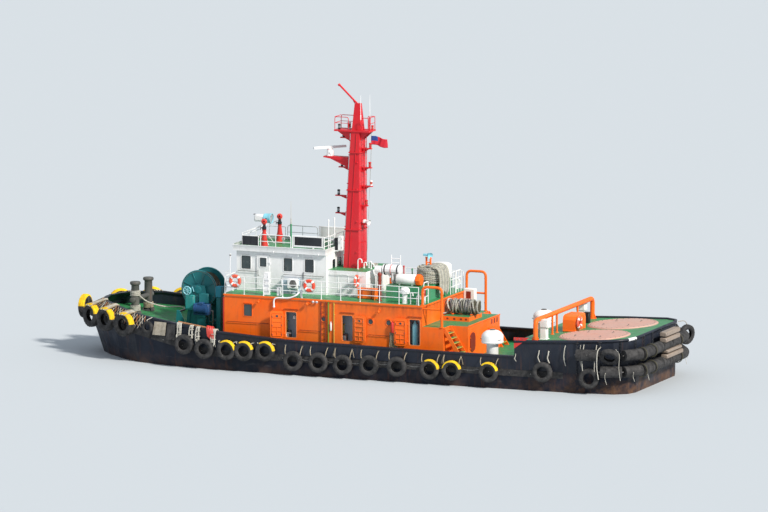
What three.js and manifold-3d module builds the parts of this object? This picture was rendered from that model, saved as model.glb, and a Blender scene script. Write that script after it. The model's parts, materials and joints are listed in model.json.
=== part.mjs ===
// A harbour tug with two steering thrusters under its stern, afloat.
// Millimetres. +X points to the bow, +Y to port, +Z up, and z = 0 is the waterline amidships.
import * as THREE from 'three';
import { mergeVertices } from 'three/addons/utils/BufferGeometryUtils.js';
import Module from 'manifold-3d';

const wasm = await Module();
wasm.setup();
const { Manifold, Mesh } = wasm;

// Driving dimensions
const seat = 0.3;            // gap that touching pieces keep
const runGap = 0.5;          // gap at a bearing face
const plate = 90;            // bulwark plating
const wall = 80;             // deckhouse walls, lining included
const panel = 70;            // wheelhouse walls
const mainDeck = 1100;       // height of the flat part of the main deck
const beltHeight = 380;
const beltDepth = 100;

const house = { aft: -4440, fore: 7410, half: 3350, top: 4100, slab: 100, eave: 60 };
const bridge = { aft: 1900, fore: 7300, half: 1850, top: 6350, roof: 6500, eave: 150, visor: 300 };
const aftHouse = { step: -5700, aft: -6760, half: 3350, narrow: 2370, top: 2930 };
const sternDeck = { fore: -10400, foreTop: 2645, aftTop: 2985 };
const casing = { aft: -410, fore: bridge.aft - seat, half: 1700, top: 5500 };
const lowCasing = { aft: -4100, fore: -1700, half: 1900, top: 4880 };
const thruster = { x: -14130, y: 2180, pad: -1500, axis: -3000 };
const winch = { x: 10100, z: 3800, flange: 1075, half: 700 };
const mast = { aft: 500, foot: casing.top, top: 13140, head: 14650 };

// Deck edge from stern to stem: x, half breadth there
const deckEdge = [
  [-16850, 3100], [-16650, 3750], [-16000, 4250], [-13500, 4600], [-10400, 4720], [-5000, 4750],
  [3000, 4750], [7600, 4700], [10000, 4530], [12600, 4080], [14200, 3230], [15700, 2050],
  [16600, 1100], [17100, 150],
];
// Deck height along the hull: x, z
const deckRise = [[-17000, mainDeck], [7600, mainDeck], [12600, 2000], [14700, 2270], [17100, 2400]];
// Keel line along the hull: x, z
const bottomLine = [[-17000, -1200], [-11800, -1400], [-5000, -3000], [9000, -3000], [17100, -2300]];
// Hull levels below the deck: depth as a part of the keel line, how far the stem has moved aft,
// breadth as a part of the deck's, how much finer the bow is
const hullLevels = [
  [0.0, 900, 0.985, 0.12],
  [0.5, 1900, 0.95, 0.35],
  [0.85, 2900, 0.78, 0.55],
  [1.0, 3900, 0.5, 0.75],
];
// Bulwark: foot x and half breadth, top x and half breadth, top height
const bulwarkLine = [
  [-10395, 4720, -10395, 4720, 1870],
  [-5000, 4750, -5000, 4750, 1870],
  [3000, 4750, 3000, 4750, 1950],
  [7600, 4700, 7600, 4690, 2200],
  [10000, 4530, 9980, 4400, 2450],
  [12600, 4080, 12450, 3850, 2720],
  [14200, 3230, 13950, 3140, 2960],
  [15700, 2050, 15250, 1950, 3040],
  [16600, 1100, 15750, 1000, 3050],
  [17100, 150, 15950, 150, 3050],
];
// Tyres along each side: x, z of the centre
const sideTyres = [
  [9200, 1340], [7950, 1180], [6600, 1200], [5540, 1210], [4260, 1280], [2600, 830], [1090, 840],
  [-370, 800], [-1930, 870], [-3590, 900], [-5520, 870], [-6810, 880], [-8970, 920], [-12100, 1100],
];
// Tyres round the bow: x on the deck edge, z of the centre
const bowTyres = [[13050, 2130], [14500, 2210], [15900, 2190]];
const tyre = { radius: 560, hole: 300, width: 300 };
const bowTyre = { radius: 675, hole: 330, width: 400 };

// Colours, with roughness and metalness
const paint = (color, roughness = 0.5, metalness = 0) =>
  new THREE.MeshStandardMaterial({ color, roughness, metalness });
const look = {
  hull: paint(0x12161f, 0.5), deck: paint(0x3a9a5e, 0.7), orange: paint(0xf4631e, 0.45),
  white: paint(0xf0f1ee, 0.4), mast: paint(0xc81f3a, 0.45), teal: paint(0x0f6f78, 0.4),
  rubber: paint(0x17181a, 0.9), salmon: paint(0xe3a48e, 0.6), darkRed: paint(0x8c2418, 0.55),
  bronze: paint(0xb08040, 0.35, 0.8), red: paint(0xc8202a, 0.4), grey: paint(0x8a8c88, 0.7),
};

// A closed solid from corners and triangles, turned right side out
function solidFrom(corners, triangles) {
  const kept = [];
  for (let i = 0; i < triangles.length; i += 3) {
    const [a, b, c] = triangles.slice(i, i + 3);
    if (a !== b && b !== c && c !== a) kept.push(a, b, c);
  }
  const build = (tris) => new Manifold(new Mesh({
    numProp: 3, vertProperties: Float32Array.from(corners), triVerts: Uint32Array.from(tris),
  }));
  const solid = build(kept);
  if (solid.volume() > 0) return solid;
  const turned = [];
  for (let i = 0; i < kept.length; i += 3) turned.push(kept[i], kept[i + 2], kept[i + 1]);
  return build(turned);
}

function solidOf(geometry) {
  geometry.deleteAttribute('normal');
  geometry.deleteAttribute('uv');
  const merged = mergeVertices(geometry, 0.01);
  return solidFrom(merged.attributes.position.array, Array.from(merged.index.array));
}

function geometryOf(solid) {
  const { vertProperties, triVerts } = solid.getMesh();
  const geometry = new THREE.BufferGeometry();
  geometry.setAttribute('position', new THREE.BufferAttribute(vertProperties, 3));
  geometry.setIndex(new THREE.BufferAttribute(triVerts, 1));
  return geometry;
}

const join = (solids) => solids.reduce((sum, next) => sum.add(next));
const cut = (solid, tools) => tools.reduce((rest, tool) => rest.subtract(tool), solid);
const mirrored = (solid) => solid.mirror([0, 1, 0]);

// A box from three [from, to] pairs
function block([x0, x1], [y0, y1], [z0, z1]) {
  const box = new THREE.BoxGeometry(x1 - x0, y1 - y0, z1 - z0);
  return solidOf(box.translate((x0 + x1) / 2, (y0 + y1) / 2, (z0 + z1) / 2));
}

// A straight round bar between two points
function rod(from, to, radius, sides = 8, endRadius = radius) {
  const start = new THREE.Vector3(...from);
  const end = new THREE.Vector3(...to);
  const bar = new THREE.CylinderGeometry(endRadius, radius, start.distanceTo(end), sides);
  const turn = new THREE.Quaternion().setFromUnitVectors(
    new THREE.Vector3(0, 1, 0), end.clone().sub(start).normalize());
  bar.applyQuaternion(turn);
  const middle = start.add(end).multiplyScalar(0.5);
  return solidOf(bar.translate(middle.x, middle.y, middle.z));
}

// A round body about an axis through a point; the profile lists radius and height along the axis
function turned(profile, axis, at, sides = 16) {
  const body = new THREE.LatheGeometry(profile.map(([r, h]) => new THREE.Vector2(r, h)), sides);
  const turn = new THREE.Quaternion().setFromUnitVectors(
    new THREE.Vector3(0, 1, 0), new THREE.Vector3(...axis).normalize());
  body.applyQuaternion(turn);
  return solidOf(body.translate(...at));
}

// A rounded opening or plate outline: centre, width, height, corner radius
function rounded([x, y, width, height, radius = 0], Kind = THREE.Path) {
  const [w, h] = [width / 2, height / 2];
  if (!radius) {
    const corners = [[x - w, y - h], [x + w, y - h], [x + w, y + h], [x - w, y + h]];
    return new Kind(corners.map(([a, b]) => new THREE.Vector2(a, b)));
  }
  const path = new Kind();
  path.absarc(x + w - radius, y + h - radius, radius, 0, Math.PI / 2);
  path.absarc(x - w + radius, y + h - radius, radius, Math.PI / 2, Math.PI);
  path.absarc(x - w + radius, y - h + radius, radius, Math.PI, Math.PI * 1.5);
  path.absarc(x + w - radius, y - h + radius, radius, Math.PI * 1.5, Math.PI * 2);
  path.closePath();
  return path;
}

const polygon = (points) => new THREE.Shape(points.map(([a, b]) => new THREE.Vector2(a, b)));

// Planes to draw on: where the drawing's right, up and depth point
const planes = {
  xy: [[1, 0, 0], [0, 1, 0], [0, 0, 1]],
  xz: [[1, 0, 0], [0, 0, 1], [0, -1, 0]],
  yz: [[0, 1, 0], [0, 0, 1], [1, 0, 0]],
};

// A flat shape drawn on a plane and made solid between two depths on the world axis across it
function prism(shape, plane, [from, to], holes = []) {
  shape.holes.push(...holes);
  const body = new THREE.ExtrudeGeometry(shape, { depth: to - from, bevelEnabled: false, curveSegments: 1 });
  const [right, up, depth] = planes[plane].map((v) => new THREE.Vector3(...v));
  body.applyMatrix4(new THREE.Matrix4().makeBasis(right, up, depth));
  const start = plane === 'xz' ? -to : from;
  return solidOf(body.translate(depth.x * start, depth.y * start, depth.z * start));
}

// A skin over rings of corners, closed at both ends
function loft(rings, flatten) {
  const size = rings[0].length;
  const triangles = [];
  for (let i = 0; i + 1 < rings.length; i += 1) {
    for (let k = 0; k < size; k += 1) {
      const [a, b] = [i * size + k, i * size + ((k + 1) % size)];
      triangles.push(a, b, b + size, a, b + size, a + size);
    }
  }
  for (const [ring, last] of [[0, false], [rings.length - 1, true]]) {
    const flat = rings[ring].map((point, index) => new THREE.Vector2(...flatten(point, index)));
    const ringOrder = THREE.ShapeUtils.area(flat) > 0;
    for (const [a, b, c] of THREE.ShapeUtils.triangulateShape(flat, [])) {
      const face = ringOrder === last ? [a, b, c] : [a, c, b];
      triangles.push(...face.map((corner) => corner + ring * size));
    }
  }
  return solidFrom(rings.flat(2), triangles);
}

// Straight interpolation in a table of [x, value] rows
function along(table, x, column = 1) {
  for (let i = 1; i < table.length; i += 1) {
    const [a, b] = [table[i - 1], table[i]];
    if (x <= b[0] || i === table.length - 1) {
      return a[column] + (b[column] - a[column]) * (x - a[0]) / (b[0] - a[0]);
    }
  }
  return table[0][column];
}

// The deck edge as a path on the port side between two x values
function edgeBetween(from, to) {
  const inside = deckEdge.filter(([x]) => x > from + 1 && x < to - 1);
  return [[from, along(deckEdge, from)], ...inside, [to, along(deckEdge, to)]];
}

// Outward mitred directions for a path that runs with its outer side on the left
function outward(path) {
  return path.map((point, i) => {
    const before = path[Math.max(i - 1, 0)];
    const after = path[Math.min(i + 1, path.length - 1)];
    const side = (a, b) => {
      const length = Math.hypot(b[0] - a[0], b[1] - a[1]);
      return length ? [-(b[1] - a[1]) / length, (b[0] - a[0]) / length] : null;
    };
    const first = side(before, point) ?? side(point, after);
    const second = side(point, after) ?? first;
    const sum = [first[0] + second[0], first[1] + second[1]];
    const stretch = 1 + first[0] * second[0] + first[1] * second[1];
    return [sum[0] / stretch, sum[1] / stretch];
  });
}

const shifted = (path, distance) =>
  path.map((p, i, all) => [p[0] + outward(all)[i][0] * distance, p[1] + outward(all)[i][1] * distance]);

// Evenly spaced points on a path, about one step apart
function spaced(path, step) {
  const curve = new THREE.CurvePath();
  for (let i = 0; i + 1 < path.length; i += 1) {
    curve.add(new THREE.LineCurve(new THREE.Vector2(...path[i]), new THREE.Vector2(...path[i + 1])));
  }
  const count = Math.round(curve.getLength() / step);
  return Array.from({ length: count + 1 }, (_, i) => curve.getPointAt(i / count).toArray());
}

const tug = new THREE.Group();
function piece(name, solid, material) {
  const mesh = new THREE.Mesh(geometryOf(solid), material);
  mesh.name = name;
  tug.add(mesh);
  return solid;
}
// Trim a solid where it would enter its carrier moved by the seating gap along a direction
const seated = (solid, carrier, [x, y, z] = [0, 0, 1]) =>
  solid.subtract(carrier.translate(x * seat, y * seat, z * seat));
// Pieces made for port and repeated on the other side
function pair(name, solid, material) {
  piece(`${name}_port`, solid, material);
  piece(`${name}_starboard`, mirrored(solid), material);
}

// Hull with its skeg and the two thruster pads
function hullRing([x, half]) {
  const bow = Math.max(0, (x - 8000) / 9100);
  const fine = Math.max(0, (x - 2000) / 15100);
  const keel = along(bottomLine, x);
  const side = [[x, half, along(deckRise, x)]];
  for (const [depth, rake, breadth, finer] of hullLevels) {
    const y = Math.max(60, half * breadth * (1 - finer * fine * fine));
    side.push([x - rake * bow * bow, y, keel * depth]);
  }
  const last = side[side.length - 1];
  const centre = [last[0], 0, keel - 150];
  const starboard = side.map(([sx, y, z]) => [sx, -y, z]).reverse();
  return [[x, 0, along(deckRise, x)], ...side, centre, ...starboard];
}

function makeHull() {
  const body = loft(deckEdge.map(hullRing), ([, y, z]) => [y, z]);
  const skeg = prism(polygon([
    [-2000, -2500], [-2000, -3050], [-9400, -3900], [-10700, -3900], [-11200, -1300],
  ]), 'xz', [-150, 150]);
  const pads = [1, -1].map((side) =>
    rod([thruster.x, side * thruster.y, -900], [thruster.x, side * thruster.y, thruster.pad], 1000, 20));
  return piece('hull', join([body, skeg, ...pads]), look.hull);
}
const hull = makeHull();

// Raised stern deck, its top sloping up to the stern
const sternSlope = (x) => sternDeck.foreTop
  + (sternDeck.aftTop - sternDeck.foreTop) * (sternDeck.fore - x) / (sternDeck.fore - deckEdge[0][0]);

function makeSternDeck() {
  const port = edgeBetween(deckEdge[0][0], sternDeck.fore);
  const outline = [...port, ...port.map(([x, y]) => [x, -y]).reverse()];
  const bodyBlock = prism(polygon(outline), 'xy', [mainDeck + seat, 3200]);
  const above = prism(polygon([
    [-17500, sternSlope(-17500)], [-10000, sternSlope(-10000)], [-10000, 3500], [-17500, 3500],
  ]), 'xz', [-6000, 6000]);
  return piece('stern_deck', bodyBlock.subtract(above), look.deck);
}
const stern = makeSternDeck();

// Bulwark, one half each side, with a thick cap
function makeBulwark() {
  const cap = 90;
  const feet = bulwarkLine.map(([x, y]) => [x, y]);
  const tops = bulwarkLine.map(([, , x, y]) => [x, y]);
  const out = [outward(feet.slice().reverse()).reverse(), outward(tops.slice().reverse()).reverse()];
  // corners of the section: share of the height, distance inboard
  const section = [[0, 0], [1, 0], [1, -40], [2, -40], [2, 180], [1, 180], [1, plate], [0, plate]];
  const rings = bulwarkLine.map(([x, , , , top], i) => section.map(([level, inboard]) => {
    const foot = along(deckRise, x) + seat;
    const high = level === 2 ? top : top - cap;
    const z = level === 0 ? foot : high;
    const share = (z - foot) / (top - foot);
    const [nx, ny] = [0, 1].map((axis) => out[0][i][axis] * (1 - share) + out[1][i][axis] * share);
    const px = feet[i][0] * (1 - share) + tops[i][0] * share;
    const py = feet[i][1] * (1 - share) + tops[i][1] * share;
    return [px + nx * inboard, Math.max(py + ny * inboard, seat / 2), z];
  }));
  const flat = section.map(([level, inboard]) => [inboard, [0, 900, 1000][level]]);
  return loft(rings, (point, index) => flat[index]);
}
pair('bulwark', makeBulwark(), look.hull);

// One tyre hung flat against a side: centre and the direction that its axis points
function hungTyre({ radius, hole, width }, at, axis, sides = 12) {
  const half = width / 2;
  const profile = [[hole, 0], [radius * 0.8, -half], [radius, 0], [radius * 0.8, half], [hole, 0]];
  return turned(profile, axis, at, sides);
}

// Rubbing belt along part of the deck edge, just below it
function belt(path) {
  const inner = shifted(path, seat);
  const outer = shifted(path, beltDepth);
  return loft(path.map(([x], i) => {
    const top = along(deckRise, x) + 30;
    const low = top - beltHeight;
    return [[...inner[i], low], [...outer[i], low], [...outer[i], top], [...inner[i], top]];
  }), (point, index) => [[0, 0], [1, 0], [1, 1], [0, 1]][index]);
}

// Where a tyre hangs: a point outside the deck edge at x, and the way out there
function hangingPoint(x, z, distance) {
  const [a, b] = [[x - 50, along(deckEdge, x - 50)], [x + 50, along(deckEdge, x + 50)]];
  const length = Math.hypot(b[0] - a[0], b[1] - a[1]);
  const way = [-(b[1] - a[1]) / length, (b[0] - a[0]) / length, 0];
  const y = along(deckEdge, x);
  return { at: [x + way[0] * distance, y + way[1] * distance, z], way };
}

function makeSideFender() {
  const tyres = sideTyres.map(([x, z]) => {
    const { at, way } = hangingPoint(x, z, beltDepth - 20 + tyre.width / 2);
    return hungTyre(tyre, at, way);
  });
  return join([belt(edgeBetween(-13200, 11480)), ...tyres]);
}
pair('side_fender', makeSideFender(), look.rubber);

function makeBowFender() {
  const port = edgeBetween(11520, deckEdge[deckEdge.length - 1][0]);
  const path = [...port, ...port.map(([x, y]) => [x, -y]).reverse()];
  const tyres = bowTyres.flatMap(([x, z]) => {
    const { at, way } = hangingPoint(x, z, beltDepth - 20 + bowTyre.width / 2);
    const one = hungTyre(bowTyre, at, way);
    return [one, mirrored(one)];
  });
  const stem = deckEdge[deckEdge.length - 1][0] + beltDepth - 20 + bowTyre.width / 2;
  // The stem's tyre hangs by a strap from the belt's end
  const strap = rod([stem - 190, 0, 2300], [stem - 40, 0, 2880], 70, 8);
  return join([belt(path), ...tyres, strap, hungTyre(bowTyre, [stem, 0, 2350], [1, 0, 0])]);
}
piece('bow_fender', makeBowFender(), look.rubber);

// Two rows of rubber rollers round the stern: height, and which roller from each end is left out
const rollerRows = [[1300, 0], [2200, 1]];
const roller = { reach: 500, radius: 315, step: 1350, fore: -14000, core: 70 };
// Tyres at each quarter: x on the deck edge, z, distance out, how far the axis tilts down
const quarterTyres = [[-14730, 900, 380, 0], [-15900, 2150, 500, 0.84]];
const cornerTyre = { at: [-17250, -3980, 2280], axis: [-1, -0.35, 0] };

// An upright plate from the rollers to the hull at a point of the path
function hanger([x, y], [dx, dy]) {
  const [wide, inboard, low, high] = [60, roller.reach + 200, 1180, 2350];
  const foot = [x - dx * inboard, y - dy * inboard];
  const corners = [[x, y, 1], [x, y, -1], [...foot, -1], [...foot, 1]].map(([px, py, side]) =>
    [px - dy * wide * side, py + dx * wide * side]);
  return prism(polygon(corners), 'xy', [low, high]);
}

function makeSternFender() {
  const half = edgeBetween(deckEdge[0][0], roller.fore);
  const loop = [...half.slice().reverse().map(([x, y]) => [x, -y]), ...half];
  const path = spaced(shifted(loop, roller.reach), roller.step);
  const count = path.length - 1;
  const parts = [];
  for (const [z, missing] of rollerRows) {
    for (let i = 0; i < count; i += 1) {
      const [a, b] = [path[i], path[i + 1]];
      const mix = (t) => [a[0] + (b[0] - a[0]) * t, a[1] + (b[1] - a[1]) * t, z];
      parts.push(rod([...a, z], [...b, z], roller.core, 4));
      if (Math.min(i, count - 1 - i) !== missing) parts.push(rod(mix(0.03), mix(0.97), roller.radius, 10));
    }
  }
  const directions = outward(path);
  path.forEach((point, i) => {
    if (Math.min(i, count - i) % 4 === 0) parts.push(hanger(point, directions[i]));
  });
  for (const [x, z, distance, tilt] of quarterTyres) {
    const { at, way } = hangingPoint(x, z, distance);
    const one = hungTyre(tyre, at, [way[0], way[1], -tilt]);
    parts.push(one, mirrored(one));
  }
  parts.push(hungTyre(tyre, cornerTyre.at, cornerTyre.axis));
  return seated(seated(join(parts), grown(hull)), grown(stern), [0, 0, 0]);
}

// A solid a hair larger about the middle of the deck, for trimming what rests on its sides
const grown = (solid) => solid.scale([1 + seat / 16000, 1 + seat / 4500, 1]);
piece('stern_fender', makeSternFender(), look.rubber);

// A hinge's knuckles on an upright axis: the wall's in the middle, the door's above it
const knuckle = { radius: 24, tall: 60 };
const knuckleAt = ([x, y], z0, z1) => rod([x, y, z0], [x, y, z1], knuckle.radius, 10);

// Side wall openings: x and z of the centre, width, height, corner radius
const portholes = [1420, -1370, -2440].map((x) => [x, 3020, 300, 300, 149]);
const squareWindow = [5980, 3240, 500, 670, 60];
// Side doors: x of the opening, which way the leaf hangs (+1 hinge to the bow), stored angle
const doorTable = { fore: [3390, 1, 160], middle: [30, -1, 175], aft: [-3980, 1, 175] };
const door = { width: 650, low: 1860, high: 3290, lap: 45, thick: 40, off: 6, axis: 56, reach: 70 };

function doorPlan([x, way, angle]) {
  const centre = (door.low + door.high) / 2;
  const axis = [x + way * (door.width / 2 + door.reach), house.half + door.axis];
  const hingeHeights = [centre - 480, centre + 480];
  return { x, way, angle, centre, axis, hingeHeights };
}

function makeSideWall() {
  const height = house.top - house.slab - seat - (mainDeck + seat);
  const middle = mainDeck + seat + height / 2;
  const length = house.fore - house.aft;
  const outline = rounded([(house.fore + house.aft) / 2, middle, length, height], THREE.Shape);
  const openings = Object.values(doorTable).map((row) =>
    [row[0], (door.low + door.high) / 2, door.width, door.high - door.low, 110]);
  const holes = [squareWindow, ...portholes, ...openings].map((spec) => rounded(spec));
  const body = prism(outline, 'xz', [house.half - wall, house.half], holes);
  const lugs = Object.values(doorTable).flatMap((row) => {
    const { axis, hingeHeights } = doorPlan(row);
    return hingeHeights.flatMap((z) => [
      knuckleAt(axis, z - knuckle.tall, z),
      block([axis[0] - 20, axis[0] + 20], [house.half - 10, axis[1]], [z - knuckle.tall, z]),
    ]);
  });
  return join([body, ...lugs]);
}
pair('deckhouse_wall', makeSideWall(), look.orange);

// A door leaf, modelled shut and then swung to where it is stored
function makeDoorLeaf(row) {
  const { x, way, angle, centre, axis, hingeHeights } = doorPlan(row);
  const inner = house.half + door.off;
  const width = door.width + 2 * door.lap;
  const height = door.high - door.low + 2 * door.lap;
  const outline = rounded([x, centre, width, height, 130], THREE.Shape);
  const leaf = prism(outline, 'xz', [inner, inner + door.thick]);
  const straps = hingeHeights.flatMap((z) => {
    const [low, high] = [z + runGap, z + runGap + knuckle.tall];
    const edge = x + way * (width / 2 - 60);
    const reach = [Math.min(edge, axis[0]), Math.max(edge, axis[0])];
    return [knuckleAt(axis, low, high), block(reach, [axis[1] - 12, axis[1] + 12], [low, high])];
  });
  const shut = join([leaf, ...straps]);
  const swing = -way * angle;
  return shut.translate(-axis[0], -axis[1], 0).rotate([0, 0, swing]).translate(axis[0], axis[1], 0);
}
for (const [name, row] of Object.entries(doorTable)) {
  pair(`deck_door_${name}`, makeDoorLeaf(row), look.orange);
}

// Front and aft walls stand between the side walls
function makeEndWalls() {
  const inside = house.half - wall - seat;
  const low = mainDeck + seat;
  const high = house.top - house.slab - seat;
  const outline = () => rounded([0, (low + high) / 2, inside * 2, high - low], THREE.Shape);
  const windows = [-1900, 0, 1900].map((y) => rounded([y, 3240, 500, 670, 60]));
  const front = prism(outline(), 'yz', [house.fore - wall, house.fore], windows);
  piece('deckhouse_wall_front', front, look.orange);
  piece('deckhouse_wall_aft', prism(outline(), 'yz', [house.aft, house.aft + wall]), look.orange);
}
makeEndWalls();

function makeUpperDeck() {
  const { aft, fore, half, eave, top, slab } = house;
  const outline = rounded([(aft + fore) / 2, 0, fore - aft + 2 * eave, 2 * (half + eave), 60], THREE.Shape);
  piece('upper_deck', prism(outline, 'xy', [top - slab, top]), look.deck);
}
makeUpperDeck();

// Wheelhouse: openings in its side walls, x and z of the centre, width, height, corner radius
const bridgeWindows = [[6730, 5675, 570, 750, 70], [4200, 5675, 530, 750, 70], [2920, 5675, 550, 750, 70]];
const bridgeDoor = { x: 5690, width: 690, low: 4260, high: 6120, thick: 40, off: 6, lap: 40 };
bridgeDoor.axis = [bridgeDoor.x - bridgeDoor.width / 2 - 70, bridge.half + 56];

function makeBridgeSide() {
  const low = house.top + seat;
  const high = bridge.top - seat;
  const outline = rounded([(bridge.aft + bridge.fore) / 2, (low + high) / 2,
    bridge.fore - bridge.aft, high - low], THREE.Shape);
  const way = [bridgeDoor.x, (bridgeDoor.low + bridgeDoor.high) / 2, bridgeDoor.width,
    bridgeDoor.high - bridgeDoor.low, 60];
  const holes = [...bridgeWindows, way].map((spec) => rounded(spec));
  const body = prism(outline, 'xz', [bridge.half - panel, bridge.half], holes);
  const [x, y] = bridgeDoor.axis;
  const lugs = [4700, 5700].flatMap((z) => [
    knuckleAt([x, y], z - knuckle.tall, z),
    block([x - 20, x + 20], [bridge.half - 10, y], [z - knuckle.tall, z]),
  ]);
  return join([body, ...lugs]);
}
pair('wheelhouse_wall', makeBridgeSide(), look.white);

function makeBridgeDoor() {
  const { x, width, low, high, lap, thick, off, axis } = bridgeDoor;
  const inner = bridge.half + off;
  const middle = (low + high) / 2;
  const outline = rounded([x, middle, width + 2 * lap, high - low + 2 * lap, 60], THREE.Shape);
  const leaf = prism(outline, 'xz', [inner, inner + thick], [rounded([5680, 5740, 410, 520, 60])]);
  const straps = [4700, 5700].flatMap((z) => {
    const [from, to] = [z + runGap, z + runGap + knuckle.tall];
    return [knuckleAt(axis, from, to),
      block([axis[0], x - width / 2 + 40], [axis[1] - 12, axis[1] + 12], [from, to])];
  });
  return join([leaf, ...straps]);
}
pair('wheelhouse_door', makeBridgeDoor(), look.white);

function makeBridgeEnds() {
  const inside = bridge.half - panel - seat;
  const low = house.top + seat;
  const high = bridge.top - seat;
  const outline = () => rounded([0, (low + high) / 2, inside * 2, high - low], THREE.Shape);
  const foreWindows = [-1310, -440, 440, 1310].map((y) => rounded([y, 5675, 720, 750, 70]));
  const aftWindows = [790, -70, -930].map((y) => rounded([y, 5630, 420, 700, 60]));
  const front = prism(outline(), 'yz', [bridge.fore - panel, bridge.fore], foreWindows);
  piece('wheelhouse_wall_front', front, look.white);
  const aft = prism(outline(), 'yz', [bridge.aft, bridge.aft + panel], aftWindows);
  piece('wheelhouse_wall_aft', aft, look.white);
}
makeBridgeEnds();

// Wheelhouse roof with the risers of the monitors and the searchlight's post
// Both monitors lie trained over the port quarter: bearing from the bow and rise in degrees
const monitorAt = { x: 5950, y: 1100, foot: 6900, elbow: 7900, bearing: 112, rise: 9 };
const lampAt = { x: 6450, foot: 7560 };

function makeBridgeRoof() {
  const { aft, fore, half, eave, visor, top, roof } = bridge;
  const slab = prism(polygon([
    [aft, -half - eave], [fore + eave, -half - eave], [fore + visor, -half + 300],
    [fore + visor, half - 300], [fore + eave, half + eave], [aft, half + eave],
  ]), 'xy', [top, roof]);
  const risers = [1, -1].map((side) =>
    rod([monitorAt.x, side * monitorAt.y, roof - 20], [monitorAt.x, side * monitorAt.y, monitorAt.foot],
      190, 12, 140));
  const post = rod([lampAt.x, 0, roof - 20], [lampAt.x, 0, lampAt.foot], 60, 10);
  piece('wheelhouse_roof', join([slab, ...risers, post]), look.white);
}
makeBridgeRoof();

// Fire monitor: turns on its riser
function makeMonitor(y) {
  const { x, foot, elbow, bearing, rise } = monitorAt;
  const [turn, lift] = [bearing, rise].map((degrees) => degrees * Math.PI / 180);
  const aim = [Math.cos(turn) * Math.cos(lift), Math.sin(turn) * Math.cos(lift), Math.sin(lift)];
  const ahead = (reach) => [x, y, elbow].map((start, axis) => start + aim[axis] * reach);
  const base = rod([x, y, foot + runGap], [x, y, 7420], 160, 12, 85);
  const neck = rod([x, y, 7380], [x, y, elbow], 80, 10);
  const head = rod(ahead(-150), ahead(170), 150, 12);
  const barrel = rod(ahead(100), ahead(820), 80, 10, 60);
  return join([base, neck, head, barrel]);
}
for (const [label, side] of [['port', 1], ['starboard', -1]]) {
  piece(`monitor_${label}`, makeMonitor(side * monitorAt.y), look.red);
}

function makeSearchlight() {
  const { x, foot } = lampAt;
  const yoke = rod([x, 0, foot + runGap], [x, 0, 7760], 70, 10);
  const head = block([x - 100, x + 520], [-200, 200], [7740, 8120]);
  const drum = rod([x - 420, 0, 7930], [x - 80, 0, 7930], 235, 14);
  return join([yoke, head, drum]);
}
piece('searchlight', makeSearchlight(), look.white);

// Railings: posts and three rails along a path at a foot height
function railing(path, foot, tall, spacing, bar = 24) {
  const parts = [];
  const levels = [0.38, 0.7, 1];
  for (let i = 0; i + 1 < path.length; i += 1) {
    for (const level of levels) {
      const z = foot + tall * level - bar;
      parts.push(rod([...path[i], z], [...path[i + 1], z], bar * 0.8, 4));
    }
  }
  const places = [];
  for (let i = 0; i + 1 < path.length; i += 1) {
    const [a, b] = [path[i], path[i + 1]];
    const count = Math.max(1, Math.round(Math.hypot(b[0] - a[0], b[1] - a[1]) / spacing));
    const first = i === 0 ? 0 : 1;
    for (let k = first; k <= count; k += 1) {
      places.push([a[0] + (b[0] - a[0]) * k / count, a[1] + (b[1] - a[1]) * k / count]);
    }
  }
  for (const [x, y] of places) {
    parts.push(block([x - bar, x + bar], [y - bar, y + bar], [foot + seat, foot + tall]));
  }
  return join(parts);
}

function makeUpperRail() {
  const y = house.half - 40;
  const x = house.fore - 30;
  return railing([[-4200, y], [x, y], [x, -y], [-4200, -y]], house.top, 1000, 1900);
}
piece('upper_deck_rail', makeUpperRail(), look.white);

// Flying bridge rail with its dodger screen in front and a blank board on each side
function makeBridgeRail() {
  const [y, x0, x1] = [1930, 2050, 6930];
  const rail = railing([[x0, -y], [x0, y], [x1, y], [x1, -y], [x0, -y]], bridge.roof, 800, 1700);
  const screen = [
    block([x1 - 20, x1 + 20], [-y, y], [6670, 7170]),
    ...[1, -1].map((side) => block([5930, x1], [side * y - 20, side * y + 20], [6670, 7170])),
  ];
  const boards = [1, -1].map((side) => block([2120, 3780], [side * y - 30, side * y + 30], [6800, 7300]));
  return join([rail, ...screen, ...boards]);
}
piece('bridge_rail', makeBridgeRail(), look.white);

// Casings on the upper deck
function makeCasings() {
  const box = ({ aft, fore, half, top }) => block([aft, fore], [-half, half], [house.top + seat, top]);
  piece('mast_casing', box(casing), look.white);
  piece('aft_casing', box(lowCasing), look.deck);
}
makeCasings();

// Mast: a tapered box with a platform, a head and a spar that reaches forward
function taper([x0, x1, half, z], [tx0, tx1, topHalf, top]) {
  return loft([
    [[x0, -half, z], [x1, -half, z], [x1, half, z], [x0, half, z]],
    [[tx0, -topHalf, top], [tx1, -topHalf, top], [tx1, topHalf, top], [tx0, topHalf, top]],
  ], ([x, y]) => [x, y]);
}
// Mast brackets: height, and how far forward or aft of the axis they reach
const mastBrackets = [
  [12150, -60], [11080, -60], [10050, -100], [8950, 170], [7930, 70],
  [12700, 1800], [11050, 1900], [9450, 2100], [8470, 2090],
];
const radar = { x: 2450, platform: 11630, pedestal: 11980, length: 2000, angle: 50 };

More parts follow.
